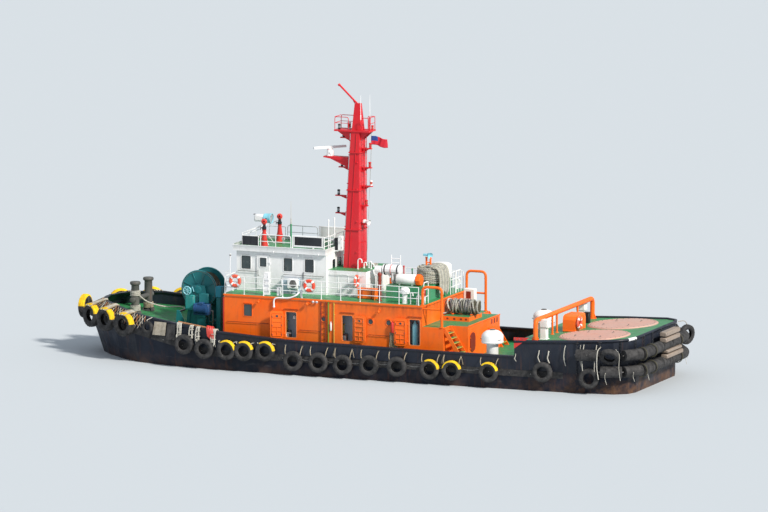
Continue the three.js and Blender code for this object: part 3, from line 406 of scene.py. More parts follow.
# The finished mesh, riding on a body and standing for the nodes it replaces
def make(kit, name, body, used, instead=(), sharp=40):
    mesh = bpy.data.meshes.new(name)
    mesh.from_pydata(kit.corners, [], kit.faces)
    mesh.polygons.foreach_set("material_index", kit.slots)
    mesh.attributes.new("mark", "FLOAT", "POINT").data.foreach_set("value", kit.marks)
    for key in used:
        mesh.materials.append(looks[key])
    form = bmesh.new()
    form.from_mesh(mesh)
    bmesh.ops.recalc_face_normals(form, faces=form.faces)
    form.to_mesh(mesh)
    form.free()
    mesh.polygons.foreach_set("use_smooth", [True] * len(mesh.polygons))
    mesh.set_sharp_from_angle(angle=math.radians(sharp))
    piece = bpy.data.objects.new(name, mesh)
    bpy.context.scene.collection.objects.link(piece)
    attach(piece, body)
    if instead:
        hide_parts(*instead)
    return piece


# Two directions across each point of a path, level with flat where it is given and else carried along
def crossways(points, closed, flat):
    last = len(points) - 1
    out = []
    side = None
    for i, p in enumerate(points):
        before = points[i - 1] if i or closed else None
        after = points[(i + 1) % (last + 1)] if i < last or closed else None
        a = (p - before).normalized() if before is not None else None
        b = (after - p).normalized() if after is not None else a
        a = a or b
        run = (a + b).normalized() if (a + b).length > 1e-6 else b
        widen = 1.0
        if flat is not None:
            across = run.cross(flat).normalized()
            up = flat
            widen = 1 / max(0.4, math.sqrt(max(0.0, (1 + a.dot(b)) / 2)))
        else:
            if side is None:
                guess = Vector((0, 0, 1)) if abs(run.z) < 0.9 else Vector((1, 0, 0))
                side = run.cross(guess)
            side = (side - run * side.dot(run)).normalized()
            across, up = side, run.cross(side)
        out.append((across * widen, up))
    return out


def sweep(kit, path, section, closed=False, flat=None, slot=0, scale=None):
    points = [Vector(p) for p in path]
    flat = Vector(flat).normalized() if flat else None
    ways = crossways(points, closed, flat)
    size = len(section)
    corners = []
    for i, (p, (across, up)) in enumerate(zip(points, ways)):
        grow = scale[i] if scale else 1.0
        corners += [p + across * (a * grow) + up * (b * grow) for a, b in section]
    rows = len(points)
    faces = []
    for i in range(rows if closed else rows - 1):
        j = (i + 1) % rows
        for k in range(size):
            m = (k + 1) % size
            faces.append((i * size + k, i * size + m, j * size + m, j * size + k))
    if not closed:
        faces += [tuple(range(size)), tuple((rows - 1) * size + k for k in range(size))]
    kit.add(corners, faces, slot)


# A step straight up, or down where it is negative
def upBy(step):
    return Vector((0, 0, step))


# A round or oval section, centred outer away from its path
def circle(radius, sides, tall=None, outer=0.0):
    angles = [2 * math.pi * k / sides for k in range(sides)]
    return [(outer + radius * math.cos(a), (tall or radius) * math.sin(a)) for a in angles]


# Points round a circle in the plane of two directions
def ringOf(centre, first, second, radius, count, turn=0.0):
    centre, first, second = Vector(centre), Vector(first), Vector(second)
    angles = [turn + 2 * math.pi * k / count for k in range(count)]
    return [centre + first * (radius * math.cos(a)) + second * (radius * math.sin(a)) for a in angles]


def tube(kit, path, radius, sides=10, **more):
    sweep(kit, path, circle(radius, sides), **more)


# A bar that rises from a, runs across and comes back down at b
def hoop(kit, a, b, rise, bend, steps, radius, sides, slot=0):
    a, b, rise = Vector(a), Vector(b), Vector(rise)
    tube(kit, bent([a, a + rise, b + rise, b], bend, steps), radius, sides, slot=slot)


# A profile of (radius, along) rows turned about an axis; wobble changes the radius by side and row
def lathe(kit, profile, at, axis, sides=32, slot=0, closed=False, wobble=None, mark=None):
    axis = Vector(axis).normalized()
    at = Vector(at)
    guess = upBy(1) if abs(axis.z) < 0.9 else Vector((1, 0, 0))
    first = (guess - axis * guess.dot(axis)).normalized()
    second = axis.cross(first)
    corners, marks, faces = [], [], []
    rows = len(profile)
    for s in range(sides):
        angle = 2 * math.pi * s / sides
        out = first * math.cos(angle) + second * math.sin(angle)
        for r, (radius, along) in enumerate(profile):
            grow = wobble(s, r) if wobble else 1.0
            corners.append(at + out * (radius * grow) + axis * along)
            marks.append(mark(out, r) if mark else 0.0)
    for s in range(sides):
        t = (s + 1) % sides
        for r in range(rows if closed else rows - 1):
            q = (r + 1) % rows
            faces.append((s * rows + r, s * rows + q, t * rows + q, t * rows + r))
    if not closed:
        for end in (0, rows - 1):
            if profile[end][0] > 1e-4:
                faces.append(tuple(s * rows + end for s in range(sides)))
    kit.add(corners, faces, slot, marks)


# A part turned about an upright axis at x and y, its rows at their own heights
def upright(kit, profile, x, y, sides, slot=0, closed=False):
    lathe(kit, profile, (x, y, 0), (0, 0, 1), sides, slot, closed)


# A box with every edge cut, between two corners; turn is a 4x4 matrix applied to it
def block(kit, low, high, cut=0.015, slot=0, turn=None):
    low, high = Vector(low), Vector(high)
    middle, half = (low + high) / 2, (high - low) / 2
    cut = min(cut, min(half) * 0.9)
    corners, index = [], {}
    for sx in (-1, 1):
        for sy in (-1, 1):
            for sz in (-1, 1):
                for axis in range(3):
                    p = [half[k] - (0 if k == axis else cut) for k in range(3)]
                    index[(sx, sy, sz, axis)] = len(corners)
                    corners.append(middle + Vector((sx * p[0], sy * p[1], sz * p[2])))
    faces = [tuple(index[(sx, sy, sz, a)] for a in range(3)) for sx in (-1, 1) for sy in (-1, 1)
             for sz in (-1, 1)]
    ring = ((-1, -1), (1, -1), (1, 1), (-1, 1))

    def key(axis, s, pair, own):
        signs = [0, 0, 0]
        signs[axis] = s
        signs[(axis + 1) % 3], signs[(axis + 2) % 3] = pair
        return index[(*signs, own)]

    for axis in range(3):
        for s in (-1, 1):
            faces.append(tuple(key(axis, s, pair, axis) for pair in ring))
        b, c = (axis + 1) % 3, (axis + 2) % 3
        for pair in ring:
            faces.append((key(axis, -1, pair, b), key(axis, 1, pair, b), key(axis, 1, pair, c),
                          key(axis, -1, pair, c)))
    if turn:
        corners = [turn @ c for c in corners]
    kit.add(corners, faces, slot)


# A box given by its reach along x, out from the middle of the ship, and up
def sideBlock(kit, s, xs, ys, zs, cut=0.015, slot=0, turn=None):
    low, high = sorted((s * ys[0], s * ys[1]))
    block(kit, (xs[0], low, zs[0]), (xs[1], high, zs[1]), cut, slot, turn)


# A flat outline given a thickness along a direction, its edge eased by bevel
def slab(kit, outline, through, bevel=0.0, slot=0):
    points = [Vector(p) for p in outline]
    through = Vector(through)
    depth = through.length
    middle = sum(points, Vector()) / len(points)
    levels = [(0, bevel), (bevel, 0), (depth - bevel, 0), (depth, bevel)] if bevel else [(0, 0), (depth, 0)]
    way = through.normalized()
    corners = []
    for level, inset in levels:
        for p in points:
            span = (p - middle).length
            corners.append(middle + (p - middle) * (1 - inset / max(span, bevel * 2 + 1e-6)) + way * level)
    n = len(points)
    faces = [tuple(range(n)), tuple(range(len(corners) - n, len(corners)))]
    for row in range(len(levels) - 1):
        for k in range(n):
            m = (k + 1) % n
            faces.append((row * n + k, row * n + m, (row + 1) * n + m, (row + 1) * n + k))
    kit.add(corners, faces, slot)


# Points round a rectangle with round corners, in the plane of right and up
def roundedLoop(centre, right, up, wide, tall, radius, steps=5):
    centre, right, up = Vector(centre), Vector(right), Vector(up)
    radius = min(radius, wide / 2 - 1e-4, tall / 2 - 1e-4)
    out = []
    for quarter, (sx, sy) in enumerate(((1, 1), (-1, 1), (-1, -1), (1, -1))):
        hub = centre + right * (sx * (wide / 2 - radius)) + up * (sy * (tall / 2 - radius))
        for k in range(steps + 1):
            angle = math.pi / 2 * (quarter + k / steps)
            out.append(hub + right * (radius * math.cos(angle)) + up * (radius * math.sin(angle)))
    return out


# A raised frame on a wall: half is its half width at the foot, crest at its top
def raisedFrame(kit, loop, flat, half, crest, tall, sunk=0.002, slot=0):
    sweep(kit, loop, [(-half, -sunk), (half, -sunk), (crest, tall), (-crest, tall)], closed=True, flat=flat,
          slot=slot)


# A smooth curve through points, ends kept
def smooth(points, steps=6):
    pts = [Vector(p) for p in points]
    out = []
    for i in range(len(pts) - 1):
        p0, p1, p2, p3 = pts[max(i - 1, 0)], pts[i], pts[i + 1], pts[min(i + 2, len(pts) - 1)]
        for k in range(steps):
            t = k / steps
            out.append(0.5 * (2 * p1 + (p2 - p0) * t + (2 * p0 - 5 * p1 + 4 * p2 - p3) * t * t
                              + (3 * p1 - p0 - 3 * p2 + p3) * t ** 3))
    out.append(pts[-1])
    return out


def sagging(a, b, drop, steps=10):
    a, b = Vector(a), Vector(b)
    return [a.lerp(b, k / steps) - upBy(drop * 4 * (k / steps) * (1 - k / steps)) for k in range(steps + 1)]


# A path with its corners rounded by short arcs
def bent(points, radius, steps=4, closed=False):
    pts = [Vector(p) for p in points]
    out = []
    for i, p in enumerate(pts):
        if not closed and i in (0, len(pts) - 1):
            out.append(p)
            continue
        a, b = pts[i - 1] - p, pts[(i + 1) % len(pts)] - p
        cut = min(radius, a.length * 0.45, b.length * 0.45)
        start, end = p + a.normalized() * cut, p + b.normalized() * cut
        for k in range(steps + 1):
            t = k / steps
            out.append(start.lerp(p, t).lerp(p.lerp(end, t), t))
    return out


# A laid rope: three strands wound round each other along a path
def rope(kit, path, radius, slot=0, sides=6):
    strands = 3
    points = [Vector(p) for p in path]
    lengths = [0.0]
    for a, b in zip(points, points[1:]):
        lengths.append(lengths[-1] + (b - a).length)
    pitch = radius * 7
    count = max(len(points), int(lengths[-1] / pitch * 6) + 2)
    dense, j = [], 0
    for i in range(count):
        s = lengths[-1] * i / (count - 1)
        while j < len(points) - 2 and lengths[j + 1] < s:
            j += 1
        span = max(lengths[j + 1] - lengths[j], 1e-9)
        dense.append(points[j].lerp(points[j + 1], (s - lengths[j]) / span))
    ways = crossways(dense, False, None)
    for k in range(strands):
        line = []
        for i, (p, (across, up)) in enumerate(zip(dense, ways)):
            angle = 2 * math.pi * (lengths[-1] * i / (count - 1) / pitch + k / strands)
            line.append(p + (across * math.cos(angle) + up * math.sin(angle)) * radius * 0.5)
        tube(kit, line, radius * 0.56, sides, slot=slot)


def along(table, x, column=1):
    for a, b in zip(table, table[1:]):
        if x <= b[0]:
            return a[column] + (b[column] - a[column]) * (x - a[0]) / (b[0] - a[0])
    return table[-1][column]


print("helpers ready")

# Heights of the decks and casing tops that gear stands on
upperDeckZ, casingZ, mastCasingZ, roofZ = 4.1, 4.88, 5.5, 6.5

# Deck edge as x and half breadth, the deck's rise, and the bulwark as foot x and y, top x and y, top height
deckEdge = [(-16.85, 3.1), (-16.65, 3.75), (-16, 4.25), (-13.5, 4.6), (-10.4, 4.72), (-5, 4.75), (3, 4.75),
            (7.6, 4.7), (10, 4.53), (12.6, 4.08), (14.2, 3.23), (15.7, 2.05), (16.6, 1.1), (17.1, 0.15)]
deckRise = [(-17.1, 1.1), (7.6, 1.1), (12.6, 2.0), (14.7, 2.27), (17.1, 2.4)]
bulwarkLine = [(-10.395, 4.72, -10.395, 4.72, 1.87), (-5, 4.75, -5, 4.75, 1.87), (3, 4.75, 3, 4.75, 1.95),
               (7.6, 4.7, 7.6, 4.69, 2.2), (10, 4.53, 9.98, 4.4, 2.45), (12.6, 4.08, 12.45, 3.85, 2.72),
               (14.2, 3.23, 13.95, 3.14, 2.96), (15.7, 2.05, 15.25, 1.95, 3.04),
               (16.6, 1.1, 15.75, 1.0, 3.05), (17.1, 0.15, 15.95, 0.15, 3.05)]


# The point outside the port deck edge at x, and the way out there
def outside(x, distance, z):
    a, b = Vector((x - 0.05, along(deckEdge, x - 0.05))), Vector((x + 0.05, along(deckEdge, x + 0.05)))
    run = (b - a).normalized()
    out = Vector((-run.y, run.x, 0))
    return Vector((x, along(deckEdge, x), z)) + out * distance, out


def flip(point):
    return Vector((point[0], -point[1], point[2]))


# The points as they are on the port side, mirrored for the other
def onSide(s, points):
    return list(points) if s > 0 else [flip(p) for p in points]


def sideName(s):
    return "port" if s > 0 else "starboard"


# The bulwark's cap over the point x of the deck edge, and the outer face between them
def bulwarkCap(x):
    return Vector([along([(r[0], r[k]) for r in bulwarkLine], x) for k in (2, 3, 4)])


def bulwarkFace(x, z):
    low = Vector((x, along(deckEdge, x), along(deckRise, x)))
    high = bulwarkCap(x)
    return low.lerp(high, (z - low.z) / (high.z - low.z))


def mirrored(rows):
    return [(a, -b) for a, b in rows[::-1]]


# Tyres. Profile rows are the share of the way from the hole to the tread and the share of the half width.
tread = [(0, 0.6), (0.1, 0.78), (0.3, 0.97), (0.55, 1.0), (0.78, 0.94), (0.92, 0.82), (1, 0.68), (1, 0.44),
         (0.95, 0.4), (0.95, 0.3), (1, 0.26), (1, 0.04)]
lining = [(0.06, -0.56), (0.3, -0.82), (0.6, -0.86), (0.84, -0.7)]
tyreProfile = [*tread, (0.95, 0), *mirrored(tread), *lining, (0.88, 0), *mirrored(lining)]
lastOutside = 2 * len(tread)


# arc is the painted part of the tread in degrees from the top, positive towards the stern
def tyre(kit, at, axis, radius, hole, width, arc=None, sides=44, slot=0):
    axis = Vector(axis).normalized()
    profile = [(hole + share * (radius - hole), w * width / 2) for share, w in tyreProfile]
    astern = Vector((-1, 0, 0)) - axis * -axis.x
    astern = astern.normalized() if astern.length > 0.3 else Vector((0, 1, 0))

    def lugs(s, r):
        return 0.972 if s % 2 and tyreProfile[r][0] >= 0.92 and abs(tyreProfile[r][1]) > 0.35 else 1.0

    def painted(out, r):
        if not arc or tyreProfile[r][0] < 0.78 or r > lastOutside:
            return 0.0
        angle = math.degrees(math.atan2(out.dot(astern), out.z))
        return 1.0 if arc[0] <= angle <= arc[1] else 0.0

    lathe(kit, profile, at, axis, sides, slot, closed=True, wobble=lugs, mark=painted)


sideTyre = {"radius": 0.56, "hole": 0.3, "width": 0.3}
sideTyres = [(9.2, 1.34), (7.95, 1.18), (6.6, 1.2), (5.54, 1.21), (4.26, 1.28), (2.6, 0.83), (1.09, 0.84),
             (-0.37, 0.8), (-1.93, 0.87), (-3.59, 0.9), (-5.52, 0.87), (-6.81, 0.88), (-8.97, 0.92),
             (-12.1, 1.1)]
yellowSide = {6.6: (-35, 85), 5.54: (-30, 80), 4.26: (-40, 88), -5.52: (-25, 85), -6.81: (-75, 80),
              -8.97: (-45, 75)}
beltShape = {"deep": 0.1, "tall": 0.38, "above": 0.03, "bolts": 1.22}


# Rubber rubbing belt: a D section along the deck edge
def belt(kit, path, side):
    deep, tall = beltShape["deep"], beltShape["tall"]
    lip = tall / 2
    section = [(0, -lip), (deep * 0.55, -lip + 0.01), (deep * 0.9, -lip * 0.62), (deep, -lip * 0.3),
               (deep, lip * 0.3), (deep * 0.9, lip * 0.62), (deep * 0.55, lip - 0.01), (0, lip)]
    if side < 0:
        section = [(-a, b) for a, b in section]
    sweep(kit, path, section, flat=(0, 0, 1))


def beltMiddle(x):
    return along(deckRise, x) + beltShape["above"] - beltShape["tall"] / 2


def beltPath(stations):
    return [Vector((x, along(deckEdge, x), beltMiddle(x))) for x in stations]


def sideFender(side):
    kit = Kit()
    between = {-9.0 + 2 * k for k in range(10)}
    stations = sorted({-13.2, 11.48} | {x for x, _ in deckEdge if -13.1 < x < 11.4} | between)
    belt(kit, onSide(side, beltPath(stations)[::-1]), -side)
    for x, z in sideTyres:
        at, out = onSide(side, outside(x, beltShape["deep"] + sideTyre["width"] / 2 - 0.02, z))
        tyre(kit, at, out, arc=yellowSide.get(x), **sideTyre)
    # Bolts along the belt
    for x in [v * beltShape["bolts"] - 12.6 for v in range(20)]:
        at, out = onSide(side, outside(x, beltShape["deep"] - 0.004, beltMiddle(x)))
        lathe(kit, [(0.028, 0), (0.028, 0.012), (0.02, 0.02), (0, 0.02)], at, out, 6, 1)
    label = sideName(side)
    make(kit, "fenders_" + label, "hull", ["rubber", "steel"], ["side_fender_" + label])


bowTyre = {"radius": 0.675, "hole": 0.33, "width": 0.4}
bowTyres = [(13.05, 2.13, (-20, 88)), (14.5, 2.21, (-25, 88)), (15.9, 2.19, (-50, 75))]


def bowFender():
    kit = Kit()
    port = beltPath([11.52] + [x for x, _ in deckEdge if x > 11.6])
    belt(kit, port + [flip(p) for p in port[::-1]], 1)
    reach = beltShape["deep"] + bowTyre["width"] / 2 - 0.02
    for x, z, arc in bowTyres:
        at, out = outside(x, reach, z)
        face = out + Vector((0, 0.45, 0))
        tyre(kit, at, face, arc=arc, **bowTyre)
        tyre(kit, flip(at) + upBy(0.26), flip(face), arc=(-95, 95), **bowTyre)
    tyre(kit, Vector((17.1 + reach, 0, 2.35)), (1, 0, 0), arc=(-90, 90), **bowTyre)
    block(kit, (17.16, -0.07, 2.3), (17.3, 0.07, 2.9), 0.02)
    make(kit, "bow_tyres", "hull", ["rubber"], ["bow_fender"])


for side in (1, -1):
    sideFender(side)
bowFender()
print("tyres hung")

# Rails of round bar, with a foot plate under each post
rail = {"bar": 0.019, "post": 0.022, "levels": (0.38, 0.7, 1.0)}


def railing(kit, path, foot, tall, spacing):
    points = [Vector((*p, 0)) for p in path]
    for level in rail["levels"]:
        line = [p + upBy(foot + tall * level - rail["bar"]) for p in points]
        tube(kit, bent(line, 0.12, 4), rail["bar"], 8)
    high = tall * max(rail["levels"]) - rail["bar"]
    post = [(0.055, 0), (0.055, 0.008), (0.026, 0.012), (rail["post"], 0.03), (rail["post"], high)]
    for n, (a, b) in enumerate(zip(points, points[1:])):
        count = max(1, round((b - a).length / spacing))
        for k in range(1 if n else 0, count + 1):
            p = a.lerp(b, k / count)
            lathe(kit, post, (p.x, p.y, foot), (0, 0, 1), 8)


# A handrail on a side wall at y, with stand-offs between its ends
def wallRail(kit, s, y, x0, x1, z, deep, parts, slot):
    hoop(kit, (x0, s * y, z), (x1, s * y, z), (0, s * deep, 0), 0.03, 3, 0.014, 8, slot)
    for k in range(1, parts):
        x = x0 + (x1 - x0) * k / parts
        tube(kit, [(x, s * y, z), (x, s * (y + deep), z)], 0.01, 6, slot=slot)


def upperRail():
    kit = Kit()
    railing(kit, [(-4.2, 3.31), (7.38, 3.31), (7.38, -3.31), (-4.2, -3.31)], 4.1, 1.0, 1.17)
    make(kit, "upper_rails", "hull", ["white"], ["upper_deck_rail"])


# Flying bridge: hooped rails, a dark dodger in front and a bare board in a frame on each side
bridgeTop = {"foot": 6.5, "half": 1.93, "aft": 2.0, "fore": 6.93, "tall": 0.8, "top": 0.82,
             "board": (2.12, 3.78, 6.8, 7.3), "hoop": (4.0, 5.82), "frame": (2.0, 3.9), "dodger": 5.95}


def bridgeRail():
    kit = Kit()
    b, bar = bridgeTop, rail["bar"]
    y, foot, tall, top = b["half"], b["foot"], b["tall"], b["foot"] + b["top"]
    aft, fore, dodger = b["aft"], b["fore"], b["dodger"]
    h0, h1 = b["hoop"]
    f0, f1 = b["frame"]
    x0, x1, z0, z1 = b["board"]
    # Rods of each side: two ends as x and height over the roof, and the radius
    rods = [((h0, 0.42), (h1, 0.42), bar), (((h0 + h1) / 2, 0), ((h0 + h1) / 2, tall), bar),
            ((f0, 0), (f0, 0.86), 0.03), ((f1, 0), (f1, 0.86), 0.03),
            ((f0, 0.24), (f1, 0.24), 0.028), ((f0, 0.84), (f1, 0.84), 0.028)]
    for s in (1, -1):
        w = s * y
        hoop(kit, (h0, w, foot), (h1, w, foot), (0, 0, tall), 0.16, 5, rail["post"], 8)
        for (xa, za), (xb, zb), radius in rods:
            tube(kit, [(xa, w, foot + za), (xb, w, foot + zb)], radius, 8)
        block(kit, (x0, w - 0.018, z0), (x1, w + (0.014 if s > 0 else 0.004), z1), 0.006, 1)
        block(kit, (x0, w + (-0.024 if s > 0 else 0.002), z0), (x1, w + (-0.002 if s > 0 else 0.024), z1),
              0.004)
        middle = ((x0 + x1) / 2, w, (z0 + z1) / 2)
        ring = roundedLoop(middle, (-s, 0, 0), (0, 0, 1), x1 - x0 + 0.04, z1 - z0 + 0.04, 0.02, 2)
        square = [(-0.03, -0.03), (0.03, -0.03), (0.03, 0.03), (-0.03, 0.03)]
        sweep(kit, ring, square, closed=True, flat=(0, s, 0))
        # Dodger side, its stiffeners, and the sloping handrail over it
        if s > 0:
            block(kit, (dodger, y - 0.012, foot + 0.17), (fore, y + 0.012, foot + 0.67), 0.005, 2)
        tube(kit, bent([(dodger, w, foot), (dodger, w, foot + 0.7), (fore, w, foot + 0.7)], 0.05), bar, 8)
        slope = [(fore, w, foot), (fore, w, top), (6.0, s * (y - 0.25), foot + 1.22),
                 (dodger, s * 1.3, foot + 1.22)]
        tube(kit, bent(slope, 0.1), bar, 8)
        for k in range(3 if s > 0 else 0):
            x = 6.05 + 0.36 * k
            tube(kit, [(x, s * (y + 0.02), foot + 0.2), (x, s * (y + 0.02), foot + 0.64)], 0.008, 6, slot=2)
    for z in (foot + 0.7, top):
        tube(kit, [(fore, -y, z), (fore, y, z)], bar, 8)
    for k in range(5):
        v = -y + 2 * y * k / 4
        tube(kit, [(fore, v, foot), (fore, v, top)], bar, 8)
    for z in (foot + 0.3, foot + 0.56, foot + tall):
        tube(kit, [(aft, -y, z), (aft, y, z)], bar, 8)
    for v in (-0.9, 0.2, 1.05):
        tube(kit, [(aft, v, foot), (aft, v, foot + tall)], rail["post"], 8)
    make(kit, "bridge_rails", "hull", ["white", "black", "black"], ["bridge_rail"])


upperRail()
bridgeRail()

# Windows: a raised frame, a rubber seal and a pane. right x up points out of the wall.
frameShape = [(-0.012, -0.02), (0.038, -0.02), (0.038, 0.010), (0.030, 0.018), (-0.004, 0.018),
              (-0.012, 0.010)]
sealShape = [(-0.03, -0.02), (-0.01, -0.02), (-0.01, 0.012), (-0.02, 0.016), (-0.03, 0.008)]


def window(kit, centre, right, up, wide, tall, radius, slots=(0, 1, 2)):
    centre, right, up = Vector(centre), Vector(right), Vector(up)
    out = right.cross(up)
    loop = roundedLoop(centre, right, up, wide, tall, radius)
    sweep(kit, loop, frameShape, closed=True, flat=out, slot=slots[0])
    sweep(kit, loop, sealShape, closed=True, flat=out, slot=slots[1])
    pane = roundedLoop(centre - out * 0.02, right, up, wide - 0.03, tall - 0.03, max(0.01, radius - 0.015))
    slab(kit, pane, out * 0.014, 0.002, slots[2])


# Rain gutter over an opening: a bent strip standing off the wall
def gutter(kit, centre, right, up, wide, drop=0.05, slot=0):
    centre, right, up = Vector(centre), Vector(right), Vector(up)
    out = right.cross(up)
    path = [centre + right * (wide / 2) - up * drop, centre + right * (wide / 2 - 0.06),
            centre - right * (wide / 2 - 0.06), centre - right * (wide / 2) - up * drop]
    sweep(kit, bent(path, 0.05, 3), [(-0.005, -0.01), (0.005, -0.01), (0.005, 0.055), (-0.005, 0.055)],
          flat=out, slot=slot)


# Deckhouse side: doors are x, which way they swing and how far; pipes are x, radius and slot
houseSide = {"y": 3.35, "window": (5.98, 3.24, 0.5, 0.67, 0.06), "ports": (1.42, -1.37, -2.44),
             "portZ": 3.02, "doors": ((3.39, 1, 160), (0.03, -1, 175), (-3.98, 1, 175)),
             "rails": ((4.75, 7.2, 2.56, 3), (1.65, 2.85, 2.32, 2), (-2.7, -1.25, 2.3, 2)),
             "lamps": ((5.29, 3.86), (2.38, 3.9), (-1.9, 3.72)), "straps": (1.5, 2.4, 3.3, 3.85),
             "pipes": ((1.58, 0.028, 5), (1.3, 0.024, 5), (1.13, 0.038, 6), (0.8, 0.024, 7)),
             "pipeLow": 1.12, "pipeTop": 3.98, }
doorShape = {"wide": 0.65, "low": 1.86, "high": 3.29, "corner": 0.11}
windowLooks = ["white", "rubber", "glass", "steel"]
bridgeWall = {"half": 1.85, "door": 1.896, "fore": 7.3, "aft": 1.9, "houseFore": 7.41}
bridgeSide = [(6.73, 5.675, 0.57, 0.75, 0.07), (4.2, 5.675, 0.53, 0.75, 0.07),
              (2.92, 5.675, 0.55, 0.75, 0.07)]


def houseTrim(s):
    kit = Kit()
    h, d = houseSide, doorShape
    right, up, out = Vector((-s, 0, 0)), upBy(1), (0, s, 0)
    wall = h["y"]
    y = s * wall
    x, z, wide, tall, radius = h["window"]
    window(kit, (x, y, z), right, up, wide, tall, radius)
    gutter(kit, (x, y, z + tall / 2 + 0.07), right, up, wide + 0.1)
    for x in h["ports"]:
        window(kit, (x, y, h["portZ"]), right, up, 0.3, 0.3, 0.15)
        gutter(kit, (x, y, h["portZ"] + 0.21), right, up, 0.3, 0.07)
        for at in ringOf((x, y, h["portZ"]), right, up, 0.175, 8):
            lathe(kit, [(0.011, 0.0), (0.011, 0.026), (0, 0.028)], at, out, 6, 3)
    for x, _, _ in h["doors"]:
        centre = (x, y, (d["low"] + d["high"]) / 2)
        loop = roundedLoop(centre, right, up, d["wide"] + 0.05, d["high"] - d["low"] + 0.05, d["corner"])
        coaming = [(-0.035, -0.09), (0.0, -0.09), (0.0, 0.004), (-0.035, 0.004)]
        sweep(kit, loop, coaming, closed=True, flat=out, slot=4)
        gutter(kit, (x, y, d["high"] + 0.16), right, up, d["wide"] + 0.24, 0.04, 5)
        sill = (d["low"] - 0.02, d["low"] + 0.012)
        sideBlock(kit, s, (x - 0.3, x + 0.3), (wall - 0.075, wall), sill, 0.006, 3)
    # Storm rails on stand-offs
    for x0, x1, z, parts in h["rails"]:
        wallRail(kit, s, wall, x0, x1, z, 0.06, parts, 5)
    # Wall lamps on short arms, on their base plates
    shade = [(0.03, 0), (0.06, -0.01), (0.075, -0.05), (0.06, -0.06), (0.05, -0.12), (0.03, -0.15),
             (0, -0.16)]
    for x, z in h["lamps"]:
        away = y + s * 0.16
        tube(kit, bent([(x, y, z), (x, away, z + 0.02), (x, away, z - 0.05)], 0.04, 3), 0.012, 8)
        lathe(kit, shade, (x, away, z - 0.03), up, 14)
        sideBlock(kit, s, (x - 0.05, x + 0.05), (wall - 0.001, wall + 0.02), (z - 0.06, z + 0.06), 0.006)
    # Drain and vent pipes up the wall with their straps, and rungs between two of them
    for x, radius, slot in h["pipes"]:
        tube(kit, [(x, y + s * 0.045, h["pipeLow"]), (x, y + s * 0.045, h["pipeTop"])], radius, 10, slot=slot)
        reach = radius + 0.02
        for z in h["straps"]:
            sideBlock(kit, s, (x - reach, x + reach), (wall - 0.001, wall + 0.05), (z - 0.02, z + 0.02),
                      0.005, slot)
    (x0, _, _), (x1, _, _) = h["pipes"][:2]
    for k in range(9):
        z = 1.3 + 0.3 * k
        tube(kit, [(x0, y + s * 0.045, z), (x1, y + s * 0.045, z)], 0.014, 6, slot=5)
    bottle = [(0.04, 2.4), (0.05, 2.43), (0.05, 2.78), (0.03, 2.84), (0.02, 2.9), (0, 2.91)]
    lathe(kit, bottle, (0.97, y + s * 0.08, 0), up, 14, 8)
    sideBlock(kit, s, (0.93, 1.01), (wall, wall + 0.06), (2.6, 2.65), 0.005, 3)
    # Welded doubler strip under the deck edge
    sideBlock(kit, s, (-4.44, 7.41), (wall, wall + 0.012), (3.94, 3.985), 0.004, 4)
    make(kit, "house_trim_" + sideName(s), "hull",
         ["orange", "rubber", "glass", "steel", "paleOrange", "darkRed", "olive", "yellow", "white"])


# Each deck door's ribs, port light, dogs and handle, modelled shut and swung to where it is stored
def doorTrim(s, row, name):
    x, way, angle = row
    d = doorShape
    hinge = Vector((x + way * (d["wide"] / 2 + 0.07), s * (houseSide["y"] + 0.056), 0))
    opened = Matrix.Rotation(math.radians(-way * angle * s), 4, "Z")
    turn = Matrix.Translation(hinge) @ opened @ Matrix.Translation(-hinge)
    kit = Kit()
    inner = s * (houseSide["y"] + 0.006)
    outer = s * (houseSide["y"] + 0.046)
    middle = (d["low"] + d["high"]) / 2

    def bar(x0, x1, z0, z1, deep, face, slot=0):
        a, b = (inner, inner - s * deep) if face == "in" else (outer, outer + s * deep)
        block(kit, (x0, min(a, b) - 0.0005, z0), (x1, max(a, b) + 0.0005, z1), 0.005, slot, turn)

    left, right, low, high = x - 0.27, x + 0.27, d["low"] + 0.08, d["high"] - 0.08
    for z in (low, low + 0.26, middle - 0.12, middle + 0.16, high - 0.24, high):
        bar(left, right, z - 0.018, z + 0.018, 0.03, "in")
    for v in (left, right):
        bar(v - 0.018, v + 0.018, low, high, 0.03, "in")
    bar(x - 0.015, x + 0.015, low, middle - 0.12, 0.024, "in")
    for zi in (low + 0.12, middle, high - 0.14):
        for v in (left + 0.01, right - 0.01):
            for face, arm in ((outer, ((0, s * 0.03, 0), (way * 0.02, s * 0.035, 0.1))),
                              (inner, ((0, -s * 0.045, 0), (0.03 * way, -s * 0.05, -0.09)))):
                at = Vector((v, face, zi))
                tube(kit, [turn @ (at + Vector(p)) for p in ((0, 0, 0), *arm)], 0.011, 6, slot=1)
    grip = [turn @ Vector((x - way * 0.2, outer + dy, middle + dz))
            for dy, dz in ((0, -0.1), (s * 0.06, -0.1), (s * 0.06, 0.12), (0, 0.12))]
    tube(kit, bent(grip, 0.03, 3), 0.01, 6, slot=1)
    for face, sign in ((inner, -s), (outer, s)):
        centre = turn @ Vector((x, face, d["high"] - 0.25))
        out = (turn.to_3x3() @ Vector((0, sign, 0))).normalized()
        lathe(kit, [(0.075, 0), (0.105, 0), (0.105, 0.012), (0.085, 0.02), (0.075, 0.01)], centre, out, 20,
              0, closed=True)
        lathe(kit, [(0.078, 0.004), (0.078, 0.006), (0, 0.007)], centre, out, 20, 2)
    label = sideName(s)
    make(kit, "door_fittings_" + name + "_" + label, "deck_door_" + name + "_" + label,
         ["orange", "steel", "glass"])


